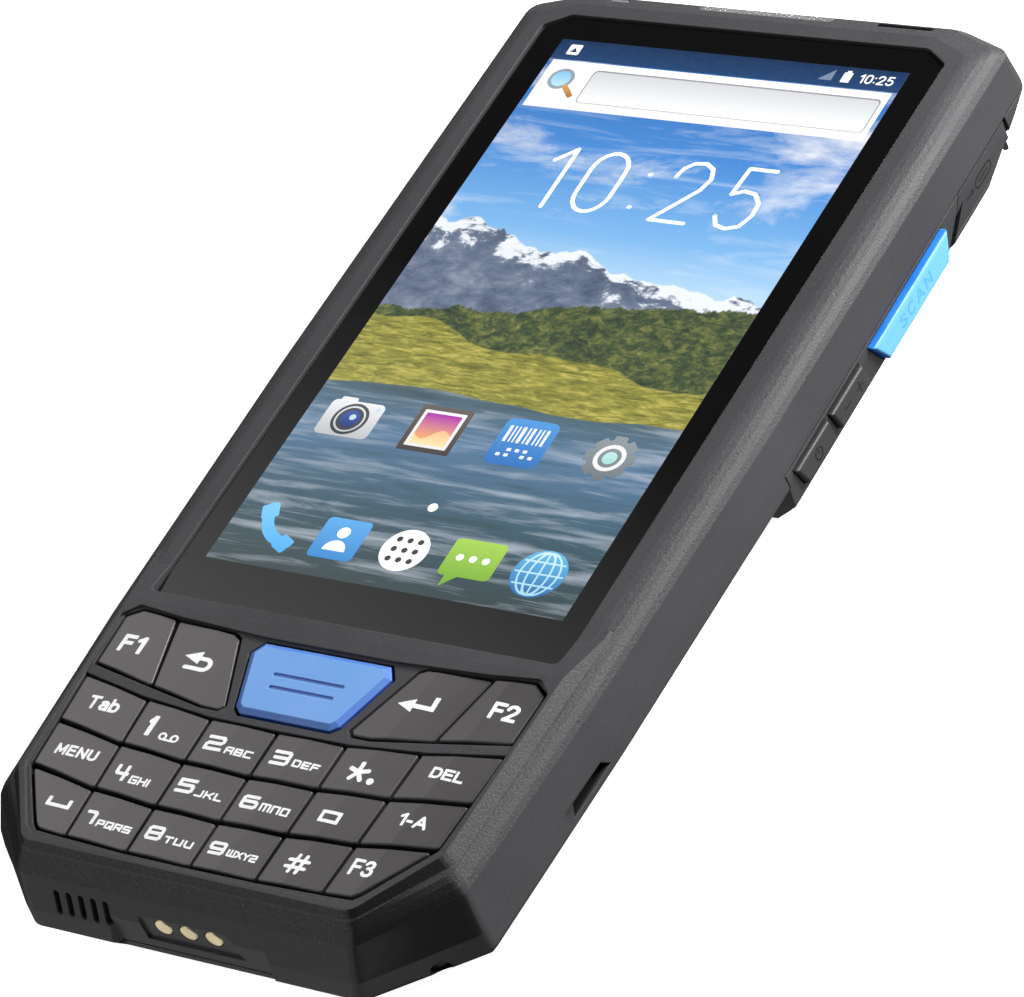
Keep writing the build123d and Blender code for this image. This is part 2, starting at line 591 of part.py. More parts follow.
def key_solid(name, pts):
    """A key cap: rounded corners, a shallow diagonal crease across its top, softened edges."""
    with BuildPart() as cap:
        with BuildSketch(level(KEY_BOTTOM)) as sk:
            poly(pts)
            if name != "key_scan":
                fillet(sk.vertices(), 0.3)
        extrude(amount=KEY_TOP - KEY_BOTTOM + (-0.1 if name == "key_scan" else 0.6))
        x0, x1 = min(x for x, y in pts), max(x for x, y in pts)
        y0, y1 = min(y for x, y in pts), max(y for x, y in pts)
        if name == "key_scan":
            # wide bevel all round, then two finger grooves
            with BuildSketch(level(KEY_TOP - 0.1)):
                poly(pts)
            with BuildSketch(level(KEY_TOP + 0.35)):
                poly(pts)
                offset(amount=-0.75, kind=Kind.INTERSECTION, mode=Mode.REPLACE)
            loft(ruled=True)
            for y, w in ((-66.7, 11.0), (-68.7, 10.0)):
                with BuildSketch(level(KEY_TOP + 0.1)):
                    with Locations(P(0, y)):
                        SlotOverall(w, 0.55)
                extrude(amount=2, mode=Mode.SUBTRACT)
        else:
            # crease from upper left of centre to lower left of centre
            cx = x0 + 0.42 * (x1 - x0)
            ridge = Vector(-0.10, -1.0, 0).normalized()
            o = Vector(cx, (y0 + y1) / 2 + Y0, H(KEY_TOP))
            side = Vector(0, 0, 1).cross(ridge)
            for tilt in (0.045, -0.030):
                n = (Vector(0, 0, 1) + side * tilt).normalized()
                with BuildSketch(Plane(origin=o, x_dir=ridge, z_dir=n)):
                    Rectangle(80, 80)
                extrude(amount=6, mode=Mode.SUBTRACT)
            tops = [e for e in cap.edges() if e.center().Z > H(KEY_TOP - 0.9) and abs(e.tangent_at(0.5).Z) < 0.5]
            rims = []
            for e in tops:
                d = e.center() - o
                off = abs(d.dot(side))
                if off < 0.02 and abs(e.tangent_at(0.5).cross(ridge).length) < 0.02:
                    continue
                rims.append(e)
            try:
                fillet(rims, 0.28)
            except Exception:
                try:
                    chamfer(rims, 0.2)
                except Exception:
                    print("plain edges", name)
    return cap


for key_name, key_pts in KEYS.items():
    finish(key_solid(key_name, key_pts), key_name)

# ---------------------------------------------------------------- side buttons


def side_button(profile, s, name, proud, inner=35.0):
    """Cap through the side wall with a retaining flange inside."""
    with BuildPart() as cap:
        with BuildSketch(Plane.YZ.offset(s * 35.9)):
            yz(profile)
        extrude(amount=s * (39.35 + proud - 35.9))
        outer = cap.faces().sort_by(Axis.X)[-1 if s > 0 else 0]
        try:
            fillet(outer.edges(), 0.45)
        except Exception:
            chamfer(outer.edges(), 0.35)
        with BuildSketch(Plane.YZ.offset(s * inner)):
            yz(profile)
            offset(amount=0.3, kind=Kind.INTERSECTION)
        extrude(amount=s * (35.9 - inner))
    return cap


side_trigger_right = side_button(TRIGGER, 1, "side_trigger_right", 1.0)
finish(side_trigger_right, "side_trigger_right")
side_trigger_left = side_button(TRIGGER, -1, "side_trigger_left", 1.0)
finish(side_trigger_left, "side_trigger_left")
volume_button = side_button(BUTTON_A, 1, "volume_button", 0.8)
finish(volume_button, "volume_button")
power_button = side_button(BUTTON_B, 1, "power_button", 0.8)
finish(power_button, "power_button")

with BuildPart() as side_switches:
    for s, ys, low in ((1, [19.5, 0.8, -9.2], -14.0), (-1, [19.5], 8.0)):
        with BuildSketch(Plane.YZ.offset(s * 33.0)):
            yz([(31.0, -8.6), (31.0, -12.6), (low, -12.6), (low, -8.6)])
        extrude(amount=s * 0.6)
        for y in ys:
            with BuildSketch(Plane.YZ.offset(s * 33.6)):
                yz([(y + 2.2, -9.0), (y + 2.2, -12.0), (y - 2.2, -12.0), (y - 2.2, -9.0)])
            extrude(amount=s * 0.75)
finish(side_switches, "side_switches")

# ---------------------------------------------------------------- port cover and its pin
with BuildPart() as port_cover:
    add(envelope.part)
    with BuildSketch(Plane.YZ.offset(37.6)):
        yz(FLAP_BLOCK)
    extrude(amount=8, mode=Mode.INTERSECT)
    # round the hinged end about the pin and clear the finger notch
    with BuildSketch(level(-14)):
        with Locations(P(HINGE_X + 3, HINGE_Y + 3)):
            Rectangle(12, 6)
    extrude(amount=10, mode=Mode.SUBTRACT)
    with BuildSketch(level(-10.75)):
        with Locations(P(HINGE_X, HINGE_Y)):
            Circle(0.8)
    extrude(amount=2.85)
    with BuildSketch(level(-14)):
        with Locations(P(HINGE_X, HINGE_Y)):
            Circle(0.46)
    extrude(amount=10, mode=Mode.SUBTRACT)
    with BuildSketch(Plane.YZ.offset(38.2)):
        yz([(36.6, -9.3), (34.0, -9.9), (29.9, -13.6), (30.6, -14.4), (31.9, -13.6)])
    extrude(amount=4, mode=Mode.SUBTRACT)
finish(port_cover, "port_cover")

with BuildPart() as port_cover_pin:
    with BuildSketch(level(-12.5)):
        with Locations(P(HINGE_X, HINGE_Y)):
            Circle(0.4)
    extrude(amount=4.7)
finish(port_cover_pin, "port_cover_pin")

# ---------------------------------------------------------------- top end: earpiece, lamp, sensor, scanner
with BuildPart() as earpiece_grille:
    with BuildSketch(top_plane.offset(-0.85)):
        with Locations((0.5, 0)):
            SlotOverall(21.6, 1.5)
    extrude(amount=0.75)
    with BuildSketch(top_plane.offset(-1.0)):
        with Locations((0.5, 0)):
            with GridLocations(0.8, 0.62, 25, 2):
                Circle(0.2)
    extrude(amount=3, mode=Mode.SUBTRACT)
finish(earpiece_grille, "earpiece_grille")

with BuildPart() as lamp_light_pipe:
    with BuildSketch(top_plane.offset(-0.9)):
        with Locations((-23.4, -0.35)):
            SlotOverall(2.8, 0.75)
    extrude(amount=0.85)
finish(lamp_light_pipe, "lamp_light_pipe")

with BuildPart() as sensor_window:
    with BuildSketch(top_plane.offset(-0.9)):
        with Locations((22.6, -0.35)):
            SlotOverall(8.6, 0.75)
    extrude(amount=0.6)
finish(sensor_window, "sensor_window")

with BuildPart() as earpiece_receiver:
    with BuildSketch(level(-5.3)):
        with Locations(P(0.5, 55.4)):
            RectangleRounded(15, 3.5, 1.0)
    extrude(amount=2.6)
finish(earpiece_receiver, "earpiece_receiver")

with BuildPart() as scan_bezel:
    add(envelope.part)
    with BuildSketch(Plane.XZ.offset(-(57.6 + Y0))):
        with Locations((0, H(-8.9))):
            RectangleRounded(28.7, 8.3, 1.05)
    extrude(amount=-8, mode=Mode.INTERSECT)
    with BuildSketch(Plane.XZ.offset(-(57.0 + Y0))):
        with Locations((0, H(-8.9))):
            RectangleRounded(24.0, 5.9, 0.8)
    extrude(amount=-8, mode=Mode.SUBTRACT)
finish(scan_bezel, "scan_bezel")

with BuildPart() as scan_window:
    with BuildSketch(Plane.XZ.offset(-(57.7 + Y0))):
        with Locations((0, H(-8.9))):
            RectangleRounded(23.9, 5.8, 0.75)
    extrude(amount=-1.2)
finish(scan_window, "scan_window")

with BuildPart() as scan_engine:
    with BuildSketch(level(-13.6)):
        with Locations(P(0, 50.0)):
            Rectangle(21.5, 13.0)
    extrude(amount=6.2)
    with BuildSketch(Plane.XZ.offset(-(56.5 + Y0))):
        with Locations((-4.5, H(-9.2))):
            Circle(2.2)
        with Locations((5.5, H(-9.2))):
            Rectangle(5.0, 3.4)
    extrude(amount=2.0, mode=Mode.SUBTRACT)
finish(scan_engine, "scan_engine")

# ---------------------------------------------------------------- boards and modules
with BuildPart() as main_board:
    with BuildSketch(level(-7.4)):
        with Locations(P(0, 25.5)):
            RectangleRounded(54.0, 57.0, 1.5)
        with Locations(P(24.5, 50), P(-24.5, 50), P(24.5, 0), P(-24.5, 0)):
            Circle(0.8, mode=Mode.SUBTRACT)
    extrude(amount=1.0)
finish(main_board, "main_board")

with BuildPart() as camera_module:
    with BuildSketch(level(-13.0)):
        with Locations(P(-16, 30)):
            Rectangle(9.0, 9.0)
    extrude(amount=5.6)
    with BuildSketch(level(-14.3)):
        with Locations(P(-16, 30)):
            Circle(3.6)
    extrude(amount=1.3)
    with BuildSketch(level(-14.4)):
        with Locations(P(-16, 30)):
            Circle(1.6)
    extrude(amount=1.2, mode=Mode.SUBTRACT)
finish(camera_module, "camera_module")

with BuildPart() as camera_window:
    with BuildSketch(level(-15.75)):
        with Locations(P(-16, 30)):
            Circle(4.5)
    extrude(amount=1.2)
    chamfer(camera_window.faces().sort_by(Axis.Z)[0].edges(), 0.15)
finish(camera_window, "camera_window")

with BuildPart() as flash_lens:
    with BuildSketch(level(-15.75)):
        with Locations(P(-5.5, 30)):
            Circle(2.1)
    extrude(amount=1.4)
    fillet(flash_lens.faces().sort_by(Axis.Z)[0].edges(), 0.2)
finish(flash_lens, "flash_lens")

with BuildPart() as usb_socket:
    with BuildSketch(Plane.YZ.offset(29.4)):
        with Locations((42.0 + Y0, H(-10.0))):
            RectangleRounded(9.0, 3.2, 1.55)
    extrude(amount=7.8)
    with BuildSketch(Plane.YZ.offset(30.6)):
        with Locations((42.0 + Y0, H(-10.0))):
            RectangleRounded(8.34, 2.56, 1.25)
    extrude(amount=8, mode=Mode.SUBTRACT)
    with BuildSketch(Plane.YZ.offset(30.0)):
        with Locations((42.0 + Y0, H(-10.0))):
            Rectangle(6.7, 0.7)
    extrude(amount=6.4)
finish(usb_socket, "usb_socket")

# ---------------------------------------------------------------- bottom end
with BuildPart() as loudspeaker:
    with BuildSketch(level(-9.5)):
        poly([(-23.6, -83.6), (-8.6, -83.6), (-8.6, -98.3), (-21.0, -98.3), (-23.6, -94.0)])
    extrude(amount=4.2)
    with BuildSketch(Plane.XZ.offset(97.6 - Y0)):
        with Locations((-15.6, H(-7.2))):
            Rectangle(11.0, 2.6)
    extrude(amount=2, mode=Mode.SUBTRACT)
finish(loudspeaker, "loudspeaker")

with BuildPart() as contact_block:
    with BuildSketch(level(-7.2)):
        with Locations(P(0, -97.25)):
            Rectangle(12.4, 3.1)
    extrude(amount=2.75)
    with BuildSketch(Plane.XZ.offset(90 - Y0)):
        with GridLocations(3.9, 1, 3, 1):
            with Locations((0, H(-5.6))):
                Circle(0.75)
    extrude(amount=14, mode=Mode.SUBTRACT)
finish(contact_block, "contact_block")

with BuildPart() as charge_contacts:
    with BuildSketch(Plane.XZ.offset(99.3 - Y0)):
        with GridLocations(3.9, 1, 3, 1):
            with Locations((0, H(-5.6))):
                Circle(1.3)
    extrude(amount=2.35)
    fillet(charge_contacts.faces().filter_by(Axis.Y).group_by(Axis.Y)[0].edges(), 0.25)
    with BuildSketch(Plane.XZ.offset(96.2 - Y0)):
        with GridLocations(3.9, 1, 3, 1):
            with Locations((0, H(-5.6))):
                Circle(0.7)
    extrude(amount=3.2)
finish(charge_contacts, "charge_contacts")

# ---------------------------------------------------------------- battery and its cover
with BuildPart() as battery_pack:
    with BuildSketch(level(-14.3)):
        with Locations(P(0, (WELL[1] + WELL[2]) / 2)):
            RectangleRounded(BATTERY[0], BATTERY[1], 1.3)
    extrude(amount=BATTERY[2])
    fillet(battery_pack.edges().filter_by(Axis.Z, reverse=True), 0.5)
finish(battery_pack, "battery_pack")

with BuildPart() as battery_cover:
    with BuildSketch(level(BACK_Z)):
        with Locations(P(0, -43.0)):
            RectangleRounded(55.6, 81.0, 3.0)
    extrude(amount=1.4)
    chamfer(battery_cover.faces().sort_by(Axis.Z)[0].edges(), 0.25)
    with BuildSketch(level(BACK_Z - 0.1)):
        for x, y in COVER_SCREWS:
            for s in (1, -1):
                with Locations(P(s * x, y)):
                    Circle(1.75)
    extrude(amount=0.9, mode=Mode.SUBTRACT)
    with BuildSketch(level(BACK_Z - 0.1)):
        for x, y in COVER_SCREWS:
            for s in (1, -1):
                with Locations(P(s * x, y)):
                    Circle(0.9)
    extrude(amount=3, mode=Mode.SUBTRACT)
    # grip ribs across the cover
    with BuildSketch(level(BACK_Z)):
        for i in range(5):
            with Locations(P(0, -62.0 - 3.0 * i)):
                SlotOverall(30.0, 1.2)
    extrude(amount=0.4, mode=Mode.SUBTRACT)
finish(battery_cover, "battery_cover")

with BuildPart() as battery_cover_screws:
    for x, y in COVER_SCREWS:
        for s in (1, -1):
            with BuildSketch(level(-15.1)):
                with Locations(P(s * x, y)):
                    Circle(1.6)
            extrude(amount=-0.65)
            with BuildSketch(level(-15.1)):
                with Locations(P(s * x, y)):
                    Circle(0.8)
            extrude(amount=3.3)
            with BuildSketch(level(-15.75)):
                with Locations(P(s * x, y)):
                    Rectangle(1.7, 0.32)
                    Rectangle(0.32, 1.7)
            extrude(amount=0.4, mode=Mode.SUBTRACT)
finish(battery_cover_screws, "battery_cover_screws")
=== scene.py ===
import math

import bpy
import numpy as np
from mathutils import Matrix, Vector
from mathutils.bvhtree import BVHTree


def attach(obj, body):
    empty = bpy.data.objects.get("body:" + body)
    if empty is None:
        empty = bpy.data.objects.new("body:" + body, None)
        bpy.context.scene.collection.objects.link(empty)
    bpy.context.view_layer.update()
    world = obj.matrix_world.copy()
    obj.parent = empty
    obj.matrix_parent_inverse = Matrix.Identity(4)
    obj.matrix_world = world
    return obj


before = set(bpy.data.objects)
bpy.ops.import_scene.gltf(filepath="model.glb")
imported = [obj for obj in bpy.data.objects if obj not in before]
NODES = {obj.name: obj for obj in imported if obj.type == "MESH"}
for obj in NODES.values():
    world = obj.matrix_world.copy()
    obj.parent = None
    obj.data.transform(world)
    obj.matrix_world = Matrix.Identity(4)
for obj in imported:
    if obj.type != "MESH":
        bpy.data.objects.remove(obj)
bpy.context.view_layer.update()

# The screen's centre in the row frame, in millimetres: plan y and the glass datum's height.
Y0, Z0 = 21.0, 15.9
GLASS_TOP = Z0 + 0.2

# ------------------------------------------------------------------ camera
cam = bpy.data.cameras.new("camera")
cam.sensor_fit = "HORIZONTAL"
cam.sensor_width = 36.0
cam.lens = 4973.98 / 1024 * 36.0
cam.clip_start, cam.clip_end = 0.02, 20.0
camera = bpy.data.objects.new("camera", cam)
bpy.context.scene.collection.objects.link(camera)
turn = Matrix(((0.8174723, -0.1333427, 0.5603198), (0.4690729, 0.7186564, -0.5133258), (-0.334229, 0.68246, 0.65003)))
camera.matrix_world = Matrix.Translation((0.3615685, -0.3329216, 0.4236595)) @ turn.to_4x4()
bpy.context.scene.camera = camera
bpy.context.scene.view_settings.view_transform = "Standard"


# ------------------------------------------------------------------ node helper
class Tree:
    """A material whose nodes are made by short calls. Coordinates are the row frame's, in metres."""

    def __init__(s, name):
        s.mat = bpy.data.materials.new(name)
        s.mat.use_nodes = True
        s.nt = s.mat.node_tree
        s.nt.nodes.clear()
        s.out = s.nt.nodes.new("ShaderNodeOutputMaterial")
        s.bsdf = s.nt.nodes.new("ShaderNodeBsdfPrincipled")
        s.nt.links.new(s.bsdf.outputs[0], s.out.inputs[0])
        s.co = s.nt.nodes.new("ShaderNodeTexCoord").outputs["Object"]

    def put(s, socket, value):
        if isinstance(value, bpy.types.NodeSocket):
            s.nt.links.new(value, socket)
        elif hasattr(value, "__len__") and socket.type == "RGBA" and len(value) == 3:
            socket.default_value = (*value, 1.0)
        else:
            socket.default_value = value

    def node(s, kind, ins=None, **props):
        n = s.nt.nodes.new(kind)
        for k, v in props.items():
            setattr(n, k, v)
        for k, v in (ins or {}).items():
            s.put(n.inputs[k], v)
        return n

    def m(s, op, a, b=0.0, clamp=False, c=0.0):
        return s.node("ShaderNodeMath", {0: a, 1: b, 2: c}, operation=op, use_clamp=clamp).outputs[0]

    def span(s, v, a, b, c=0.0, d=1.0, kind="LINEAR"):
        return s.node("ShaderNodeMapRange", {"Value": v, "From Min": a, "From Max": b, "To Min": c, "To Max": d}, interpolation_type=kind).outputs[0]

    def noise(s, scale, detail=2.0, rough=0.5, vec=None, dist=0.0, out="Fac"):
        return s.node("ShaderNodeTexNoise", {"Vector": vec or s.co, "Scale": scale, "Detail": detail, "Roughness": rough, "Distortion": dist}).outputs[out]

    def ramp(s, fac, stops, kind="LINEAR"):
        n = s.node("ShaderNodeValToRGB", {0: fac})
        n.color_ramp.interpolation = kind
        while len(n.color_ramp.elements) < len(stops):
            n.color_ramp.elements.new(0.5)
        for e, (p, c) in zip(n.color_ramp.elements, stops):
            e.position = p
            e.color = (*c, 1.0)
        return n.outputs[0]

    def mix(s, fac, a, b, mode="MIX"):
        n = s.node("ShaderNodeMix", data_type="RGBA", blend_type=mode)
        for k, v in ((0, fac), (6, a), (7, b)):
            s.put(n.inputs[k], v)
        return n.outputs[2]

    def xyz(s, vec=None):
        n = s.node("ShaderNodeSeparateXYZ", {0: vec or s.co})
        return n.outputs[0], n.outputs[1], n.outputs[2]

    def vec(s, x, y, z=0.0):
        return s.node("ShaderNodeCombineXYZ", {0: x, 1: y, 2: z}).outputs[0]

    def soft(s, radius, samples=6):
        """The normal as if every edge were rounded by radius, and how near an edge is, 0 to 1."""
        b = s.node("ShaderNodeBevel", {"Radius": radius}, samples=samples).outputs[0]
        geo = s.node("ShaderNodeNewGeometry")
        dot = s.node("ShaderNodeVectorMath", {0: b, 1: geo.outputs["Normal"]}, operation="DOT_PRODUCT").outputs["Value"]
        return b, s.span(dot, 0.995, 0.86)

    def normal(s):
        return s.node("ShaderNodeNewGeometry").outputs["Normal"]

    def bump(s, height, distance, normal=None, strength=1.0):
        ins = {"Height": height, "Distance": distance, "Strength": strength}
        if normal is not None:
            ins["Normal"] = normal
        return s.node("ShaderNodeBump", ins).outputs[0]

    def set(s, **values):
        for k, v in values.items():
            s.put(s.bsdf.inputs[k.replace("_", " ")], v)
        return s.mat


def scaled(c, k):
    return tuple(min(1.0, x * k) for x in c)


def moulded(name, base, rough, grain=0.00022, depth=0.000022, edge=0.00025, worn=1.5, spots=0.5, specular=0.5, textured=True, slot=False):
    """Moulded plastic: spark-eroded grain, slow tone changes, rounded edges lightened partly by wear and partly as a
    painted highlight, handling marks; painted shade inside the strap slots and across the lower corner facets.
    """
    t = Tree(name)
    soft, near = t.soft(edge)
    fine = t.noise(1.0 / grain, 3.0, 0.65)
    cell = t.node("ShaderNodeTexVoronoi", {"Vector": t.co, "Scale": 0.8 / grain}, feature="SMOOTH_F1").outputs["Distance"]
    slow = t.noise(45.0, 3.0, 0.55)
    tiny = t.noise(1500.0, 2.0, 0.5)
    x, y, z = t.xyz(t.normal())
    if textured:
        # the bevel band is etched more coarsely than the walls
        band = t.m("MULTIPLY", t.span(z, 0.30, 0.55), t.span(z, 0.985, 0.93, 0.35, 1.0))
        amount = t.m("ADD", t.m("MULTIPLY", band, 0.75), 0.35)
    else:
        amount = 1.0
    tone = t.mix(t.span(slow, 0.3, 0.7), scaled(base, 0.86), scaled(base, 1.14))
    speck = t.m("MULTIPLY", t.span(fine, 0.56, 0.74), t.m("MULTIPLY", amount, spots))
    tone = t.mix(speck, tone, scaled(base, 2.3))
    dark = t.m("MULTIPLY", t.span(fine, 0.44, 0.30), t.m("MULTIPLY", amount, spots * 0.9))
    tone = t.mix(dark, tone, scaled(base, 0.45))
    if textured:
        # painted shade: the facets across the lower corners are smoother, and their colour is darkened as if turned
        # away from the light
        corner_facet_shade = t.m("MULTIPLY", t.m("MULTIPLY", t.span(y, -0.28, -0.42), t.span(t.m("ABSOLUTE", x), 0.28, 0.42)), t.span(z, 0.15, 0.32))
        tone = t.mix(corner_facet_shade, tone, scaled(base, 0.22))
    # edges lightened: partly wear, partly a painted highlight on the rounded edges
    highlight_and_wear_tone = t.m("MULTIPLY", near, t.span(tiny, 0.35, 0.65, 0.25, 0.75))
    tone = t.mix(highlight_and_wear_tone, tone, scaled(base, worn))
    if slot:
        # painted shade: darkened inside the strap slots, where shadow falls
        px, py, pz = t.xyz()
        inside = t.m("MULTIPLY", t.span(t.m("ABSOLUTE", px), 0.0386, 0.0381), t.m("MULTIPLY", t.span(py, -0.0402, -0.0414), t.span(py, -0.0520, -0.0508)))
        inside = t.m("MULTIPLY", inside, t.m("MULTIPLY", t.span(pz, 0.00685, 0.00705), t.span(pz, 0.00905, 0.00885)))
        tone = t.mix(inside, tone, scaled(base, 0.12))
    height = t.m("ADD", t.m("MULTIPLY", fine, 0.7), t.m("MULTIPLY", cell, 0.4))
    height = t.m("MULTIPLY", height, amount)
    return t.set(
        Base_Color=tone,
        Roughness=t.span(t.m("ADD", slow, t.m("MULTIPLY", fine, 0.5)), 0.4, 1.1, rough - 0.06, rough + 0.08),
        Specular_IOR_Level=specular,
        Normal=t.bump(height, depth, soft),
    )


def metal(name, base, rough, line=0.0, edge=0.00008):
    t = Tree(name)
    soft, near = t.soft(edge, 4)
    x, y, z = t.xyz()
    streak = t.noise(1.0, 3.0, 0.6, vec=t.vec(t.m("MULTIPLY", x, 9000.0), t.m("MULTIPLY", y, 500.0), t.m("MULTIPLY", z, 9000.0)))
    spot = t.noise(900.0, 2.0)
    tone = t.mix(t.span(spot, 0.35, 0.7), scaled(base, 0.82), base)
    tone = t.mix(t.m("MULTIPLY", near, 0.4), tone, scaled(base, 1.25))
    return t.set(Base_Color=tone, Metallic=1.0, Roughness=t.span(streak, 0.3, 0.7, rough - 0.08, rough + 0.1), Normal=t.bump(streak, 0.000002 + line, soft))


def rubber(name, base, rough=0.75):
    t = Tree(name)
    soft, near = t.soft(0.00015, 4)
    fine = t.noise(5200.0, 3.0, 0.6)
    slow = t.noise(120.0, 2.0)
    tone = t.mix(t.span(slow, 0.3, 0.7), scaled(base, 0.85), scaled(base, 1.2))
    tone = t.mix(t.m("MULTIPLY", near, 0.5), tone, scaled(base, 1.5))
    return t.set(Base_Color=tone, Roughness=t.span(fine, 0.3, 0.7, rough - 0.08, rough + 0.08), Specular_IOR_Level=0.35, Normal=t.bump(fine, 0.000012, soft))


def clear(name, base, rough=0.05, specular=0.6):
    """Dark or tinted window seen as a polished surface, with faint smears in its gloss."""
    t = Tree(name)
    smear = t.noise(90.0, 4.0, 0.6, dist=1.2)
    soft, near = t.soft(0.0001, 4)
    tone = t.mix(t.m("MULTIPLY", near, 0.5), base, scaled([max(c, 0.02) for c in base], 3.0))
    return t.set(Base_Color=tone, Roughness=t.span(smear, 0.35, 0.75, rough, rough + 0.07), Specular_IOR_Level=specular, Normal=soft)


def board(name):
    t = Tree(name)
    x, y, z = t.xyz()
    track = t.node("ShaderNodeTexBrick", {"Vector": t.vec(t.m("MULTIPLY", x, 600.0), t.m("MULTIPLY", y, 600.0)), "Scale": 1.0, "Mortar Size": 0.06, "Color1": (0.012, 0.10, 0.045, 1), "Color2": (0.010, 0.085, 0.04, 1), "Mortar": (0.03, 0.19, 0.08, 1)}).outputs[0]
    pads = t.node("ShaderNodeTexVoronoi", {"Vector": t.co, "Scale": 420.0}).outputs["Distance"]
    tone = t.mix(t.span(pads, 0.14, 0.10), track, (0.62, 0.46, 0.20))
    return t.set(Base_Color=tone, Roughness=t.span(pads, 0.0, 0.6, 0.28, 0.45), Normal=t.bump(track, 0.00002))


# ------------------------------------------------------------------ materials
MAT = {}
HOUSING = (0.056, 0.0546, 0.0580)
MAT["housing"] = moulded("housing_plastic", HOUSING, 0.52, grain=0.00027, depth=0.000065, worn=1.7, spots=1.0, specular=0.38, slot=True)
MAT["rear"] = moulded("rear_plastic", scaled(HOUSING, 0.86), 0.54, grain=0.00032, depth=0.00006, worn=1.6, spots=0.55, specular=0.38, slot=True)
MAT["black"] = moulded("black_plastic", (0.016, 0.016, 0.017), 0.42, grain=0.00015, depth=0.00001, worn=2.2, spots=0.2, textured=False)
MAT["button"] = moulded("button_plastic", (0.036, 0.036, 0.038), 0.42, grain=0.00016, depth=0.000012, worn=2.6, spots=0.25, textured=False)
MAT["wrap"] = moulded("battery_wrap", (0.05, 0.052, 0.06), 0.35, grain=0.0004, depth=0.00001, worn=1.3, spots=0.15, textured=False)
MAT["rubber"] = rubber("seal_rubber", (0.018, 0.018, 0.018))
MAT["cover_rubber"] = rubber("cover_rubber", (0.047, 0.047, 0.050), 0.62)
MAT["steel"] = metal("screw_steel", (0.55, 0.55, 0.57), 0.28)
MAT["dark_steel"] = metal("dark_steel", (0.10, 0.10, 0.105), 0.34)
MAT["grille"] = metal("grille_steel", (0.95, 0.95, 0.96), 0.36)
MAT["aluminium"] = metal("cast_aluminium", (0.62, 0.62, 0.64), 0.40)
MAT["gold"] = metal("contact_gold", (0.98, 0.84, 0.52), 0.38)
MAT["board"] = board("solder_resist")
MAT["pipe"] = clear("light_pipe", (0.20, 0.21, 0.22), 0.25, 0.5)
MAT["scan_glass"] = clear("scan_glass", (0.030, 0.004, 0.006), 0.03, 0.7)
MAT["lens"] = clear("lens_glass", (0.006, 0.006, 0.010), 0.02, 0.8)


def key_plastic(name, base, lit_top, highlight_and_wear_tone, rough, edge=0.0003, painted_sheen_fade=0.80):
    """Satin key: a lighter rim, a painted highlight; a faint painted sheen that fades from left to right; very fine
    texture. The tone of faces that look up is painted lighter than the sides, as if lit from above.
    """
    t = Tree(name)
    soft, near = t.soft(edge, 8)
    x, y, z = t.xyz(t.normal())
    fine = t.noise(6500.0, 2.0, 0.5)
    slow = t.noise(95.0, 2.0, 0.5)
    # painted shade: sides that don't look up keep the darker base tone, tops get the lighter tone
    tone = t.mix(t.span(z, 0.75, 0.97), base, lit_top)
    # painted light: the side left of the crease is painted a little lighter, and the keys are painted darker towards
    # the right, where the sheen falls off
    px, py, pz = t.xyz()
    tone = t.mix(t.m("MULTIPLY", t.span(px, 0.034, -0.034, 0.0, painted_sheen_fade), t.span(z, 0.75, 0.97)), tone, highlight_and_wear_tone)
    tone = t.mix(t.m("MULTIPLY", t.span(x, 0.015, -0.02, 0.0, 0.22), t.span(z, 0.9, 0.99)), tone, highlight_and_wear_tone)
    tone = t.mix(t.span(slow, 0.32, 0.68, 0.0, 0.22), tone, highlight_and_wear_tone)
    # painted highlight: a lighter line along the key's edges
    tone = t.mix(t.m("MULTIPLY", near, t.span(fine, 0.3, 0.7, 0.35, 0.7)), tone, scaled(highlight_and_wear_tone, 1.15))
    return t.set(Base_Color=tone, Roughness=t.span(t.m("ADD", slow, t.m("MULTIPLY", fine, 0.4)), 0.4, 1.0, rough - 0.04, rough + 0.08), Specular_IOR_Level=0.5, Normal=t.bump(fine, 0.000005, soft))


MAT["key"] = key_plastic("key_plastic", (0.026, 0.024, 0.025), (0.055, 0.050, 0.052), (0.150, 0.138, 0.143), 0.33)
MAT["scan_key"] = key_plastic("scan_key_plastic", (0.012, 0.075, 0.56), (0.155, 0.37, 0.80), (0.30, 0.52, 0.95), 0.36, 0.00025, 0.0)


def trigger_plastic():
    t = Tree("trigger_plastic")
    soft, near = t.soft(0.00035, 8)
    x, y, z = t.xyz(t.normal())
    fine = t.noise(5200.0, 2.0, 0.5)
    slow = t.noise(130.0, 2.0, 0.5)
    # painted light: faces turned to either side are painted a lighter cyan than the top and end walls, as if lit from
    # the side
    face = t.span(t.m("ABSOLUTE", x), 0.55, 0.95)
    tone = t.mix(face, (0.005, 0.20, 0.78), (0.19, 0.60, 0.93))
    tone = t.mix(t.span(slow, 0.3, 0.7, 0.0, 0.18), tone, (0.18, 0.58, 0.95))
    # painted highlight: lighter blue along the edges
    tone = t.mix(t.m("MULTIPLY", near, 0.45), tone, (0.10, 0.50, 1.0))
    return t.set(Base_Color=tone, Roughness=t.span(fine, 0.3, 0.7, 0.27, 0.40), Specular_IOR_Level=0.5, Normal=t.bump(fine, 0.000006, soft))


MAT["trigger"] = trigger_plastic()


def cover_black():
    """Screen glass, printed black behind: deep gloss with faint fingerprints and a bright ground edge."""
    t = Tree("cover_glass_black")
    soft, near = t.soft(0.00012, 4)
    smear = t.noise(70.0, 5.0, 0.62, dist=1.5)
    dust = t.noise(3800.0, 1.0, 0.4)
    tone = t.mix(t.span(dust, 0.80, 0.88, 0.0, 0.5), (0.0030, 0.0030, 0.0034), (0.05, 0.05, 0.05))
    tone = t.mix(t.m("MULTIPLY", near, 0.35), tone, (0.03, 0.03, 0.033))
    return t.set(Base_Color=tone, Roughness=t.span(smear, 0.35, 0.75, 0.045, 0.13), Specular_IOR_Level=0.55, Normal=soft)


MAT["glass"] = cover_black()

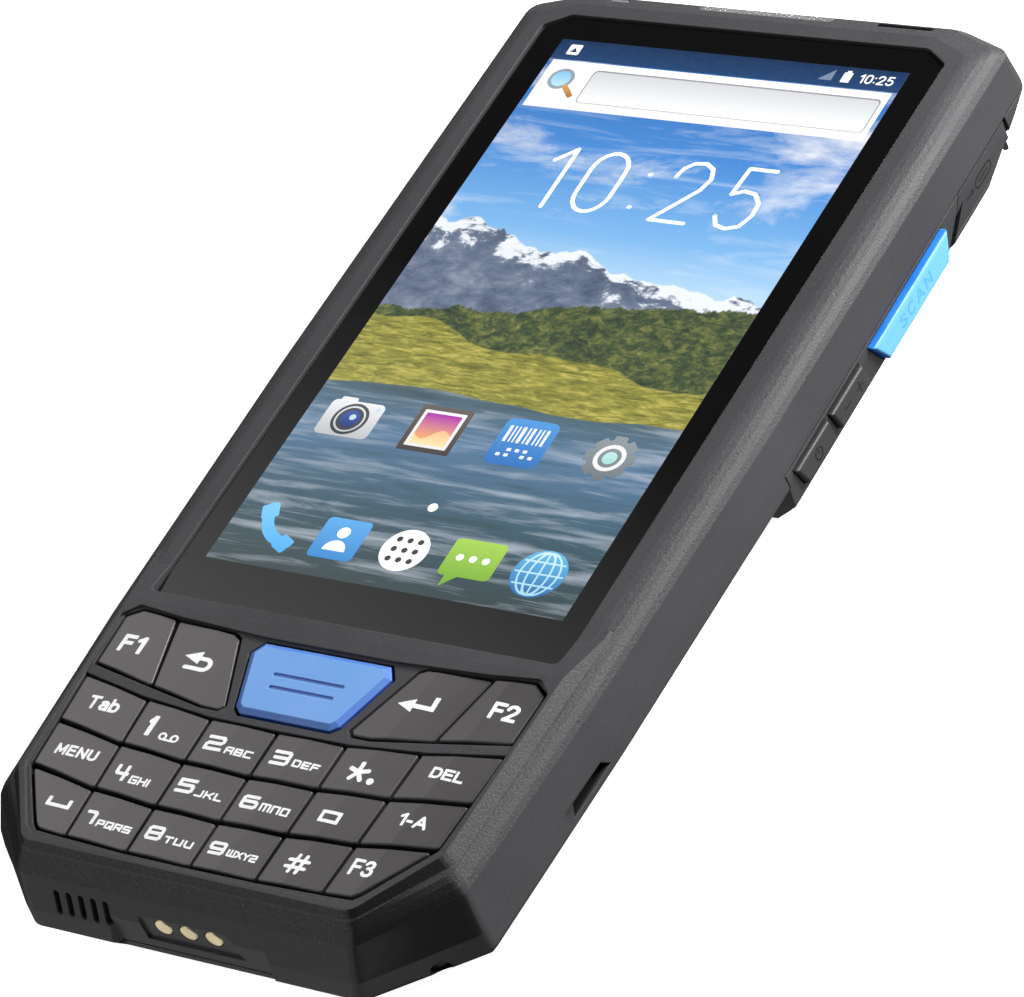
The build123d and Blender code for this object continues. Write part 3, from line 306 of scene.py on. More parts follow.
NODE_MAT = {
    "front_housing": "housing", "rear_housing": "rear", "battery_cover": "rear", "housing_seal": "rubber", "cover_glass": "glass",
    "display_panel": "black", "backlight": "steel", "mid_frame": "aluminium", "frame_screws": "steel", "housing_screws": "dark_steel",
    "battery_cover_screws": "dark_steel", "keypad_mat": "rubber", "dome_switches": "steel", "keypad_board": "board", "side_switches": "board",
    "main_board": "board", "side_trigger_right": "trigger", "side_trigger_left": "trigger", "volume_button": "button", "power_button": "button",
    "port_cover": "cover_rubber", "port_cover_pin": "dark_steel", "earpiece_grille": "grille", "lamp_light_pipe": "pipe", "sensor_window": "lens",
    "earpiece_receiver": "black", "scan_bezel": "black", "scan_window": "scan_glass", "scan_engine": "black", "camera_module": "black",
    "camera_window": "lens", "flash_lens": "pipe", "usb_socket": "steel", "loudspeaker": "black", "contact_block": "black",
    "charge_contacts": "gold", "battery_pack": "wrap",
}
for name, obj in NODES.items():
    kind = NODE_MAT.get(name) or ("scan_key" if name == "key_scan" else "key")
    if not obj.data.materials:
        obj.data.materials.append(MAT[kind])
    for slot in obj.material_slots:
        slot.material = MAT[kind]


# ------------------------------------------------------------------ flat shapes from distance fields
def seg(X, Y, a, b, w, cap=1.0, r=0.0):
    """Distance to a bar of width w from a to b; cap is how far it runs past its ends, in half widths."""
    ax, ay = a
    bx, by = b
    L = math.hypot(bx - ax, by - ay) or 1e-9
    ux, uy = (bx - ax) / L, (by - ay) / L
    cx, cy = (ax + bx) / 2, (ay + by) / 2
    p = np.abs((X - cx) * ux + (Y - cy) * uy) - (L / 2 + cap * w / 2 - r)
    q = np.abs(-(X - cx) * uy + (Y - cy) * ux) - (w / 2 - r)
    return np.hypot(np.maximum(p, 0), np.maximum(q, 0)) + np.minimum(np.maximum(p, q), 0) - r


def rod(X, Y, a, b, w):
    ax, ay = a
    bx, by = b
    d2 = (bx - ax) ** 2 + (by - ay) ** 2 or 1e-12
    t = np.clip(((X - ax) * (bx - ax) + (Y - ay) * (by - ay)) / d2, 0, 1)
    return np.hypot(X - ax - t * (bx - ax), Y - ay - t * (by - ay)) - w / 2


def disc(X, Y, cx, cy, r):
    return np.hypot(X - cx, Y - cy) - r


def ring(X, Y, cx, cy, r, w):
    return np.abs(np.hypot(X - cx, Y - cy) - r) - w / 2


def rbox(X, Y, cx, cy, w, h, r):
    p, q = np.abs(X - cx) - w / 2 + r, np.abs(Y - cy) - h / 2 + r
    return np.hypot(np.maximum(p, 0), np.maximum(q, 0)) + np.minimum(np.maximum(p, q), 0) - r


def pgon(X, Y, pts):
    """Signed distance to a convex polygon, corners anticlockwise."""
    d = None
    for (ax, ay), (bx, by) in zip(pts, pts[1:] + pts[:1]):
        L = math.hypot(bx - ax, by - ay)
        e = ((X - ax) * (by - ay) - (Y - ay) * (bx - ax)) / L
        d = e if d is None else np.maximum(d, e)
    return d


def arc_pts(cx, cy, r, a0, a1, n=14):
    return [(cx + r * math.cos(math.radians(a0 + (a1 - a0) * i / n)), cy + r * math.sin(math.radians(a0 + (a1 - a0) * i / n))) for i in range(n + 1)]


def union(*ds):
    return np.minimum.reduce(ds)


def flat_faces(f, box, step):
    """Marching squares: the points and faces where f is negative, its outline interpolated."""
    x0, y0, x1, y1 = box
    nx, ny = int(math.ceil((x1 - x0) / step)) + 1, int(math.ceil((y1 - y0) / step)) + 1
    xs, ys = x0 + step * np.arange(nx), y0 + step * np.arange(ny)
    X, Y = np.meshgrid(xs, ys, indexing="ij")
    D = f(X, Y)
    D = np.where(np.abs(D) < 1e-6, 1e-6, D)
    inside = D < 0
    pts, ids, faces = [], {}, []

    def corner(i, j):
        k = (0, i, j)
        if k not in ids:
            ids[k] = len(pts)
            pts.append((xs[i], ys[j]))
        return ids[k]

    def cross(i, j, axis):
        k = (1 + axis, i, j)
        if k not in ids:
            i2, j2 = (i + 1, j) if axis == 0 else (i, j + 1)
            t = D[i, j] / (D[i, j] - D[i2, j2])
            t = min(max(t, 0.02), 0.98)
            ids[k] = len(pts)
            pts.append((xs[i] + t * (xs[i2] - xs[i]), ys[j] + t * (ys[j2] - ys[j])))
        return ids[k]

    some = inside[:-1, :-1] | inside[1:, :-1] | inside[:-1, 1:] | inside[1:, 1:]
    for i, j in zip(*np.nonzero(some)):
        i, j = int(i), int(j)
        ring_ = [(i, j), (i + 1, j), (i + 1, j + 1), (i, j + 1)]
        edges = [(i, j, 0), (i + 1, j, 1), (i, j + 1, 0), (i, j, 1)]
        face = []
        for k in range(4):
            a, b = ring_[k], ring_[(k + 1) % 4]
            if inside[a]:
                face.append(corner(*a))
            if inside[a] != inside[b]:
                face.append(cross(*edges[k]))
        if len(face) > 2:
            faces.append(face)
    return pts, faces


def slab(name, f, box, step, mat, body, place, thick):
    """A thin closed plate from a flat shape. place(a, b, depth) gives the point in metres, at that depth under the plate's face."""
    pts, faces = flat_faces(f, box, step)
    n = len(pts)
    verts = [place(a, b, 0.0) for a, b in pts] + [place(a, b, thick) for a, b in pts]
    count = {}
    for face in faces:
        for a, b in zip(face, face[1:] + face[:1]):
            count[(a, b)] = 1
    rim = [(a, b) for a, b in count if (b, a) not in count]
    walls = [(b, a, a + n, b + n) for a, b in rim]
    lower = [[k + n for k in reversed(face)] for face in faces]
    me = bpy.data.meshes.new(name)
    me.from_pydata(verts, [], faces + lower + walls)
    me.validate()
    me.materials.append(mat)
    o = bpy.data.objects.new(name, me)
    bpy.context.scene.collection.objects.link(o)
    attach(o, body)
    return o


def on_top(height):
    """Places flat points at a height in mm, screen coordinates in mm."""
    return lambda a, b, depth: (a / 1000, (b + Y0) / 1000, (height - depth) / 1000)


def on_node(node, axis, lift):
    """Places flat points on a CAD node's surface, seen along axis. Coordinates are mm in the screen's frame."""
    o = NODES[node]
    tree = BVHTree.FromPolygons([v.co[:] for v in o.data.vertices], [p.vertices[:] for p in o.data.polygons])
    last = [None]

    def place(a, b, depth):
        if axis == "z":
            start, way = Vector((a / 1000, (b + Y0) / 1000, 0.05)), Vector((0, 0, -1))
        else:
            s = 1 if axis == "+x" else -1
            start, way = Vector((s * 0.07, (s * a + Y0) / 1000, (b + Z0) / 1000)), Vector((-s, 0, 0))
        hit = tree.ray_cast(start, way)[0]
        if hit is None:
            far = (start.dot(way) - last[0]) if last[0] is not None else 0.0
            hit = start - way * far
        else:
            last[0] = hit.dot(way)
        p = hit - way * ((lift - depth) / 1000)
        return (p.x, p.y, p.z)

    return place


# ------------------------------------------------------------------ strokes of the lettering
SANS = {
    "F": (0.60, [[(0, 0), (0, 1)], [(0, 1), (0.60, 1)], [(0, 0.53), (0.50, 0.53)]]),
    "1": (0.34, [[(0.34, 0), (0.34, 1)], [(0.34, 1), (0.06, 0.78)]]),
    "2": (0.60, [[(0, 0.74), (0.04, 0.88), (0.17, 0.98), (0.36, 1.0), (0.52, 0.92), (0.59, 0.76), (0.52, 0.56), (0.02, 0.02)], [(0.0, 0), (0.60, 0)]]),
    "3": (0.60, [[(0.02, 0.82), (0.14, 0.97), (0.36, 1), (0.53, 0.90), (0.54, 0.68), (0.40, 0.54), (0.22, 0.53)], [(0.40, 0.53), (0.57, 0.40), (0.60, 0.20), (0.48, 0.04), (0.26, 0.0), (0.09, 0.04), (0, 0.18)]]),
    "5": (0.58, [[(0.54, 1), (0.08, 1), (0.04, 0.56), (0.22, 0.63), (0.42, 0.60), (0.56, 0.46), (0.58, 0.26), (0.48, 0.06), (0.28, 0.0), (0.10, 0.04), (0, 0.18)]]),
    "4": (0.66, [[(0.50, 0), (0.50, 1), (0, 0.28), (0.66, 0.28)]]),
    "0": (0.60, [arc_pts(0.30, 0.70, 0.30, 0, 180, 10) + arc_pts(0.30, 0.30, 0.30, 180, 360, 10) + [(0.60, 0.70)]]),
    "T": (0.66, [[(0, 1), (0.66, 1)], [(0.33, 1), (0.33, 0)]]),
    "a": (0.50, [[(0.06, 0.60), (0.22, 0.70), (0.40, 0.68), (0.50, 0.54), (0.50, 0.0)], [(0.50, 0.40), (0.22, 0.40), (0.06, 0.30), (0.03, 0.14), (0.14, 0.01), (0.32, 0.01), (0.50, 0.16)]]),
    "b": (0.52, [[(0, 0), (0, 1)], [(0, 0.50), (0.14, 0.68), (0.34, 0.70), (0.48, 0.58), (0.52, 0.35), (0.46, 0.10), (0.28, 0.0), (0.10, 0.04), (0, 0.16)]]),
    "M": (0.74, [[(0, 0), (0, 1), (0.37, 0.22), (0.74, 1), (0.74, 0)]]),
    "E": (0.56, [[(0.56, 0), (0, 0), (0, 1), (0.55, 1)], [(0, 0.53), (0.50, 0.53)]]),
    "N": (0.62, [[(0, 0), (0, 1), (0.62, 0), (0.62, 1)]]),
    "U": (0.62, [[(0, 1), (0, 0.26), (0.08, 0.08), (0.31, 0), (0.54, 0.08), (0.62, 0.26), (0.62, 1)]]),
    "D": (0.62, [[(0, 0), (0, 1), (0.34, 1), (0.53, 0.89), (0.62, 0.65), (0.62, 0.35), (0.53, 0.11), (0.34, 0), (0, 0)]]),
    "L": (0.52, [[(0, 1), (0, 0), (0.52, 0)]]),
    "-": (0.28, [[(0.02, 0.38), (0.26, 0.38)]]),
    "A": (0.72, [[(0, 0), (0.36, 1), (0.72, 0)], [(0.14, 0.32), (0.58, 0.32)]]),
    "S": (0.56, [[(0.54, 0.86), (0.40, 0.99), (0.16, 0.99), (0.02, 0.84), (0.06, 0.64), (0.50, 0.40), (0.56, 0.18), (0.42, 0.01), (0.14, 0.01), (0, 0.14)]]),
    "C": (0.58, [[(0.58, 0.84), (0.42, 0.98), (0.20, 0.98), (0.04, 0.80), (0, 0.5), (0.04, 0.20), (0.20, 0.02), (0.42, 0.02), (0.58, 0.16)]]),
    ":": (0.02, [[(0, 0.16), (0.01, 0.16)], [(0, 0.72), (0.01, 0.72)]]),
    " ": (0.3, []),
}
c_ = 0.14
TECHNO = {
    "0": (1.35, [[(0, 0), (0, 1), (1.35, 1), (1.35, 0), (0, 0)]]),
    "2": (1.2, [[(0, 1), (1.2 - c_, 1), (1.2, 1 - c_), (1.2, 0.64), (1.2 - c_, 0.5), (c_, 0.5), (0, 0.36), (0, 0), (1.2, 0)]]),
    "3": (1.2, [[(0, 1), (1.2 - c_, 1), (1.2, 1 - c_), (1.2, c_), (1.2 - c_, 0), (0, 0)], [(0.10, 0.5), (1.2, 0.5)]]),
    "4": (1.05, [[(0, 1), (0, 0.55), (c_, 0.42), (1.05, 0.42)], [(0.88, 1), (0.88, -0.04)]]),
    "5": (1.2, [[(1.2, 1), (0, 1), (0, 0.56), (1.2 - c_, 0.56), (1.2, 0.42), (1.2, c_), (1.2 - c_, 0), (0, 0)]]),
    "6": (1.2, [[(1.1, 1), (c_, 1), (0, 1 - c_), (0, c_), (c_, 0), (1.2 - c_, 0), (1.2, c_), (1.2, 0.42), (1.2 - c_, 0.56), (0, 0.56)]]),
    "7": (0.85, [[(0, 0.98), (0.85 - c_, 0.98), (0.85, 0.98 - c_), (0.85, 0)]]),
    "8": (1.2, [[(c_, 1), (1.2 - c_, 1), (1.2, 1 - c_), (1.2, 0.62), (1.2 - c_, 0.5), (1.2, 0.38), (1.2, c_), (1.2 - c_, 0), (c_, 0), (0, c_), (0, 0.38), (c_, 0.5), (0, 0.62), (0, 1 - c_), (c_, 1)], [(c_, 0.5), (1.2 - c_, 0.5)]]),
    "9": (1.2, [[(1.2, 0.45), (c_, 0.45), (0, 0.59), (0, 1 - c_), (c_, 1), (1.2 - c_, 1), (1.2, 1 - c_), (1.2, c_), (1.2 - c_, 0), (c_, 0)]]),
    "A": (1.0, [[(0, 0), (0, 0.8), (0.2, 1), (1, 1), (1, 0)], [(0, 0.45), (1, 0.45)]]),
    "B": (1.0, [[(0, 0), (0, 1), (0.9, 1), (0.9, 0.5), (1, 0.5), (1, 0), (0, 0)], [(0, 0.5), (0.95, 0.5)]]),
    "C": (1.0, [[(1, 1), (0, 1), (0, 0), (1, 0)]]),
    "D": (1.0, [[(0, 0), (0, 1), (0.85, 1), (1, 0.85), (1, 0.15), (0.85, 0), (0, 0)]]),
    "E": (1.0, [[(1, 1), (0, 1), (0, 0), (1, 0)], [(0, 0.5), (0.9, 0.5)]]),
    "F": (1.0, [[(1, 1), (0, 1), (0, 0)], [(0, 0.5), (0.85, 0.5)]]),
    "G": (1.0, [[(1, 1), (0, 1), (0, 0), (1, 0), (1, 0.5), (0.5, 0.5)]]),
    "H": (1.0, [[(0, 0), (0, 1)], [(1, 0), (1, 1)], [(0, 0.5), (1, 0.5)]]),
    "I": (0.05, [[(0, 0), (0, 1)]]),
    "J": (0.9, [[(0.9, 1), (0.9, 0.1), (0.8, 0), (0, 0)]]),
    "K": (1.0, [[(0, 0), (0, 1)], [(1, 1), (0.5, 0.5), (0, 0.5)], [(0.5, 0.5), (1, 0)]]),
    "L": (0.9, [[(0, 1), (0, 0), (0.9, 0)]]),
    "M": (1.3, [[(0, 0), (0, 1), (1.3, 1), (1.3, 0)], [(0.65, 1), (0.65, 0)]]),
    "N": (1.0, [[(0, 0), (0, 1), (1, 1), (1, 0)]]),
    "O": (1.0, [[(0, 0), (0, 1), (1, 1), (1, 0), (0, 0)]]),
    "P": (1.0, [[(0, 0), (0, 1), (1, 1), (1, 0.42), (0, 0.42)]]),
    "Q": (1.0, [[(0, 0), (0, 1), (1, 1), (1, 0), (0, 0)], [(0.6, 0.35), (1.1, -0.15)]]),
    "R": (1.0, [[(0, 0), (0, 1), (1, 1), (1, 0.45), (0, 0.45)], [(0.45, 0.45), (1, 0)]]),
    "S": (1.0, [[(1, 1), (0, 1), (0, 0.5), (1, 0.5), (1, 0), (0, 0)]]),
    "T": (1.0, [[(0, 1), (1, 1)], [(0.5, 1), (0.5, 0)]]),
    "U": (1.0, [[(0, 1), (0, 0), (1, 0), (1, 1)]]),
    "V": (1.0, [[(0, 1), (0, 0.25), (0.25, 0), (1, 0), (1, 1)]]),
    "W": (1.3, [[(0, 1), (0, 0), (1.3, 0), (1.3, 1)], [(0.65, 0), (0.65, 1)]]),
    "X": (1.0, [[(0, 1), (1, 0)], [(0, 0), (1, 1)]]),
    "Y": (1.0, [[(0, 1), (0.5, 0.5), (1, 1)], [(0.5, 0.5), (0.5, 0)]]),
    "Z": (1.0, [[(0, 1), (1, 1), (1, 0.55), (0, 0.45), (0, 0), (1, 0)]]),
}


def text_field(text, font, box, w, gap, square=True):
    """The strokes of a word, fitted to a box in mm, as a distance field."""
    x0, y0, x1, y1 = box
    total = sum(font[c][0] for c in text) + gap * (len(text) - 1)
    sx = (x1 - x0 - w) / max(total, 1e-6)
    sy = y1 - y0 - w
    lines, x = [], 0.0
    for c in text:
        for line in font[c][1]:
            lines.append([(x0 + w / 2 + (x + px) * sx, y0 + w / 2 + py * sy) for px, py in line])
        x += font[c][0] + gap

    def f(X, Y):
        ds = []
        for line in lines:
            for a, b in zip(line, line[1:]):
                ds.append(seg(X, Y, a, b, w, 1.0, w * 0.22) if square and (abs(a[0] - b[0]) < 1e-6 or abs(a[1] - b[1]) < 1e-6) else rod(X, Y, a, b, w))
        return union(*ds)

    return f


def key_plane(u, v):
    """From a point read on the plane of the glass to the same line of sight on the key tops."""
    u, v = u - 0.004 * v, v + 0.004 * u
    return (u + 1.285) / 1.0036, (v - 1.268) / 1.0036


def text_on(font, text, u0, u1, v1, v0, w, gap, square=True):
    (x0, y0), (x1, y1) = key_plane(u0, v0 + 0.28), key_plane(u1 - 0.22, v1 + 0.06)
    return text_field(text, font, (x0, y0, x1, y1), w, gap, square), (x0 - 0.3, y0 - 0.5, x1 + 0.3, y1 + 0.3)


def join(*parts):
    """Several (field, box) pairs as one."""
    boxes = [b for _, b in parts]
    box = (min(b[0] for b in boxes), min(b[1] for b in boxes), max(b[2] for b in boxes), max(b[3] for b in boxes))
    return (lambda X, Y: union(*[f(X, Y) for f, _ in parts])), box


def shape(f, u0, u1, v1, v0):
    (x0, y0), (x1, y1) = key_plane(u0, v0), key_plane(u1, v1)
    return f, (x0 - 0.4, y0 - 0.4, x1 + 0.4, y1 + 0.4)


def KP(*pts):
    return [key_plane(u, v) for u, v in pts]


def back_arrow():
    line = KP((-19.4, -65.1), (-18.05, -65.1)) + [key_plane(u, v) for u, v in arc_pts(-18.05, -65.95, 0.86, 90, -90, 12)] + KP((-20.6, -66.81))
    head = KP((-21.4, -65.05), (-19.15, -65.95), (-19.15, -64.15))
    return shape(lambda X, Y: union(*[rod(X, Y, a, b, 0.62) for a, b in zip(line, line[1:])], pgon(X, Y, head) - 0.08), -21.6, -16.5, -64.0, -67.5)


def enter_arrow():
    a, b, c = KP((13.8, -66.15), (17.4, -66.15), (17.4, -64.6))
    head = KP((12.4, -66.15), (14.65, -67.1), (14.65, -65.2))
    return shape(lambda X, Y: union(seg(X, Y, a, b, 0.68), seg(X, Y, b, c, 0.68), pgon(X, Y, head) - 0.05), 12.3, 18.0, -64.3, -67.5)


def loops():
    l, r = KP((-17.05, -77.85), (-15.25, -77.85))
    return shape(lambda X, Y: union(ring(X, Y, *l, 0.46, 0.30), ring(X, Y, *r, 0.46, 0.30), seg(X, Y, (l[0], l[1] - 0.46), (r[0], r[1] - 0.46), 0.28, 0.2)), -17.9, -14.4, -77.1, -78.6)


def star():
    cx, cy = key_plane(13.05, -77.35)
    dx, dy = key_plane(15.3, -78.35)
    tips = [(cx + 1.35 * math.cos(math.radians(a)), cy + 1.35 * math.sin(math.radians(a))) for a in (90, 162, 234, 306, 18)]
    return shape(lambda X, Y: union(*[rod(X, Y, (cx, cy), p, 0.62) for p in tips], disc(X, Y, dx, dy, 0.50)), 11.4, 16.0, -75.6, -79.1)


def hash_mark():
    lines = [KP((12.1, -93.4), (12.5, -90.8)), KP((13.2, -93.4), (13.6, -90.8)), KP((11.4, -91.6), (14.2, -91.6)), KP((11.3, -92.65), (14.1, -92.65))]
    return shape(lambda X, Y: union(*[rod(X, Y, a, b, 0.48) for a, b in lines]), 11.0, 14.8, -90.4, -94.1)


def bracket():
    pts = KP((-26.9, -90.15), (-26.9, -91.05), (-23.75, -91.05), (-23.75, -90.15))
    return shape(lambda X, Y: union(*[seg(X, Y, a, b, 0.52, 1.0, 0.1) for a, b in zip(pts, pts[1:])]), -27.6, -22.9, -89.8, -91.7)


LEGENDS = {
    "key_f1": text_on(SANS, "F1", -32.15, -28.2, -63.5, -66.55, 0.60, 0.30),
    "key_back": back_arrow(),
    "key_enter": enter_arrow(),
    "key_f2": text_on(SANS, "F2", 25.4, 29.55, -63.3, -66.15, 0.52, 0.28),
    "key_tab": text_on(SANS, "Tab", -30.95, -25.75, -73.8, -76.15, 0.42, 0.28),
    "key_1": join(text_on(SANS, "1", -20.4, -18.95, -75.05, -78.5, 0.74, 0.1), loops()),
    "key_2": join(text_on(TECHNO, "2", -10.5, -7.4, -76.2, -78.75, 0.50, 0.1), text_on(TECHNO, "ABC", -7.1, -2.75, -77.45, -78.8, 0.275, 0.50)),
    "key_3": join(text_on(TECHNO, "3", -0.05, 3.0, -76.45, -78.95, 0.50, 0.1), text_on(TECHNO, "DEF", 3.35, 7.55, -77.4, -78.75, 0.275, 0.50)),
    "key_star": star(),
    "key_del": text_on(SANS, "DEL", 22.65, 27.75, -74.45, -76.35, 0.37, 0.27),
    "key_menu": text_on(SANS, "MENU", -30.95, -24.2, -81.95, -83.85, 0.36, 0.34),
    "key_4": join(text_on(TECHNO, "4", -20.4, -17.95, -83.2, -85.85, 0.50, 0.1), text_on(TECHNO, "GHI", -17.6, -14.35, -84.55, -86.0, 0.27, 0.47)),
    "key_5": join(text_on(TECHNO, "5", -10.5, -7.5, -83.3, -85.75, 0.50, 0.1), text_on(TECHNO, "JKL", -7.3, -2.95, -84.55, -85.9, 0.275, 0.50)),
    "key_6": join(text_on(TECHNO, "6", -0.3, 2.6, -83.8, -86.1, 0.48, 0.1), text_on(TECHNO, "MNO", 2.85, 7.35, -84.6, -86.05, 0.275, 0.50)),
    "key_0": text_on(TECHNO, "0", 11.6, 14.8, -83.7, -85.75, 0.48, 0.1),
    "key_alpha": text_on(SANS, "1-A", 22.2, 26.75, -81.8, -83.95, 0.40, 0.26),
    "key_space": bracket(),
    "key_7": join(text_on(TECHNO, "7", -20.4, -18.4, -90.7, -93.05, 0.50, 0.1), text_on(TECHNO, "PQRS", -18.1, -12.6, -91.9, -93.2, 0.27, 0.47)),
    "key_8": join(text_on(TECHNO, "8", -10.4, -7.6, -91.0, -93.4, 0.48, 0.1), text_on(TECHNO, "TUV", -7.3, -2.75, -92.15, -93.45, 0.275, 0.52)),
    "key_9": join(text_on(TECHNO, "9", -0.55, 2.2, -91.35, -93.55, 0.46, 0.1), text_on(TECHNO, "WXYZ", 2.45, 7.1, -92.15, -93.45, 0.26, 0.44)),
    "key_hash": hash_mark(),
    "key_f3": text_on(SANS, "F3", 20.0, 23.6, -89.55, -92.25, 0.44, 0.30),
}


def ink():
    """White keypad print: dense, a little chalky, thinner in places."""
    t = Tree("legend_ink")
    worn = t.noise(2600.0, 3.0, 0.6)
    tone = t.mix(t.span(worn, 0.30, 0.62), (0.70, 0.70, 0.70), (0.90, 0.90, 0.895))
    # painted light: the ink glows faintly, though it is no lamp
    return t.set(Base_Color=tone, Roughness=t.span(worn, 0.3, 0.7, 0.42, 0.6), Emission_Color=(1.0, 1.0, 1.0, 1.0), Emission_Strength=0.20, Normal=t.bump(worn, 0.000008))


INK = ink()
for key, (f, box) in LEGENDS.items():
    slab("legend_" + key[4:], f, box, 0.075, INK, key, on_node(key, "z", 0.035), 0.07)


# ------------------------------------------------------------------ screen picture
def picture():
    """Home screen wallpaper: a plain landscape of open sky, drifting cloud, a long snowy ridge, wooded and grassy hills and still water in bands."""
    t = Tree("screen_wallpaper")
    x, y, z = t.xyz()
    X = t.m("MULTIPLY", x, 1000.0)
    Y = t.m("SUBTRACT", t.m("MULTIPLY", y, 1000.0), Y0)

    def at(kx, ky, ox=0.0, oy=0.0):
        return t.vec(t.m("MULTIPLY_ADD", X, kx, c=ox), t.m("MULTIPLY_ADD", Y, ky, c=oy), 0.37)

    def line(k, seed, detail=3.0):
        return t.noise(1.0, detail, 0.5, vec=t.vec(t.m("MULTIPLY_ADD", X, k, c=seed), 0.0, seed))

    sky = t.ramp(t.span(Y, 4.0, 50.0), [(0.0, (0.52, 0.74, 0.92)), (0.22, (0.20, 0.47, 0.83)), (0.55, (0.055, 0.25, 0.66)), (1.0, (0.018, 0.12, 0.40))])
    body = t.noise(1.0, 7.0, 0.58, vec=at(0.040, 0.085, 3.1, 7.7), dist=0.35)
    lit = t.noise(1.0, 5.0, 0.6, vec=at(0.075, 0.15, 9.3, 1.2), dist=0.2)
    cover = t.span(body, 0.52, 0.68)
    wisps = t.span(t.noise(1.0, 6.0, 0.62, vec=at(0.03, 0.22, 1.7, 4.4), dist=0.8), 0.52, 0.80, 0.0, 0.55)
    cloud = t.ramp(lit, [(0.30, (0.52, 0.58, 0.68)), (0.52, (0.84, 0.86, 0.90)), (0.70, (0.98, 0.98, 0.98))])
    col = t.mix(wisps, sky, (0.86, 0.92, 0.97))
    col = t.mix(cover, col, cloud)

    # long snowy ridge, higher on the left
    h = t.m("ADD", t.m("MULTIPLY_ADD", line(0.075, 2.3, 5.0), 15.0, c=1.5), t.m("MULTIPLY", X, -0.16))
    rock = t.noise(1.0, 8.0, 0.66, vec=at(0.20, 0.34, 5.0, 2.0), dist=0.35)
    snow = t.span(t.m("ADD", rock, t.m("MULTIPLY", t.m("SUBTRACT", Y, h), 0.035)), 0.40, 0.47)
    face = t.ramp(rock, [(0.30, (0.055, 0.080, 0.14)), (0.50, (0.14, 0.18, 0.27)), (0.70, (0.30, 0.33, 0.42))])
    face = t.mix(snow, face, (0.84, 0.88, 0.94))
    col = t.mix(t.span(t.m("SUBTRACT", h, Y), -0.12, 0.12), col, face)

    # wooded slopes rising to the right
    h2 = t.m("ADD", t.m("MULTIPLY_ADD", line(0.055, 8.1, 4.0), 13.0, c=-6.5), t.m("MULTIPLY", X, 0.17))
    h2 = t.m("ADD", h2, t.m("MULTIPLY", t.noise(1.0, 2.0, 0.6, vec=at(1.9, 0.0, 4.0)), 1.3))
    wood = t.noise(1.0, 8.0, 0.72, vec=at(0.55, 0.85, 2.0, 6.0), dist=0.5)
    trees = t.ramp(wood, [(0.30, (0.010, 0.022, 0.014)), (0.47, (0.045, 0.075, 0.030)), (0.60, (0.15, 0.17, 0.045)), (0.74, (0.36, 0.34, 0.10))])
    col = t.mix(t.span(t.m("SUBTRACT", h2, Y), -0.15, 0.15), col, trees)

    # sunlit meadow, low on the left
    h3 = t.m("ADD", t.m("MULTIPLY_ADD", line(0.050, 14.6, 3.0), 10.0, c=-13.0), t.m("MULTIPLY", X, -0.13))
    grass = t.noise(1.0, 7.0, 0.70, vec=at(0.30, 1.5, 12.0, 3.0), dist=0.6)
    field = t.ramp(grass, [(0.30, (0.075, 0.085, 0.016)), (0.50, (0.28, 0.27, 0.045)), (0.68, (0.62, 0.54, 0.12))])
    col = t.mix(t.span(t.m("SUBTRACT", h3, Y), -0.12, 0.12), col, field)

    # still water, banded
    shore = t.m("MULTIPLY_ADD", line(0.04, 21.0, 2.0), 5.0, c=-19.5)
    ripple = t.noise(1.0, 6.0, 0.62, vec=at(0.045, 0.50, 7.0, 9.0), dist=0.4)
    deep = t.ramp(t.span(Y, -50.0, -16.0), [(0.0, (0.012, 0.034, 0.036)), (0.35, (0.030, 0.085, 0.12)), (0.75, (0.090, 0.19, 0.32)), (1.0, (0.070, 0.12, 0.14))])
    water = t.mix(t.span(ripple, 0.48, 0.72, 0.0, 0.75), deep, (0.50, 0.57, 0.66))
    water = t.mix(t.span(ripple, 0.42, 0.28, 0.0, 0.6), water, (0.020, 0.050, 0.052))
    col = t.mix(t.span(t.m("SUBTRACT", shore, Y), -0.1, 0.1), col, water)

    grid = t.noise(9000.0, 0.0)
    shade = t.mix(0.04, col, t.node("ShaderNodeCombineColor", {0: grid, 1: grid, 2: grid}).outputs[0])
    t.set(Base_Color=t.mix(0.72, shade, (0.0, 0.0, 0.0)), Emission_Color=shade, Emission_Strength=0.80, Roughness=t.span(t.noise(70.0, 5.0, 0.62, dist=1.5), 0.35, 0.75, 0.05, 0.12), Specular_IOR_Level=0.5)
    return t.mat


def lit(name, a, b, y0=None, y1=None, power=0.85, base=0.25, patch=0.04):
    """A lit screen element: a vertical fade from a, at y0, to b, at y1, with a faint mottle."""
    t = Tree(name)
    x, y, z = t.xyz()
    if y0 is None:
        fac = t.noise(500.0, 2.0)
    else:
        fac = t.span(y, (y0 + Y0) / 1000, (y1 + Y0) / 1000)
    col = t.mix(fac, a, b)
    mott = t.noise(1400.0, 2.0)
    col = t.mix(t.m("MULTIPLY", mott, patch), col, (0.5, 0.5, 0.5))
    t.set(Base_Color=t.mix(1.0 - base, col, (0.0, 0.0, 0.0)), Emission_Color=col, Emission_Strength=power, Roughness=t.span(mott, 0.2, 0.8, 0.05, 0.12), Specular_IOR_Level=0.5)
    return t.mat


WHITE = lit("ui_white", (0.92, 0.93, 0.95), (1.0, 1.0, 1.0), power=0.9)
T = GLASS_TOP


def ui(name, f, box, level, mat, step=0.11):
    return slab("screen_" + name, f, box, step, mat, "housing", on_top(T + 0.012 * level), 0.012 * level + 0.006)


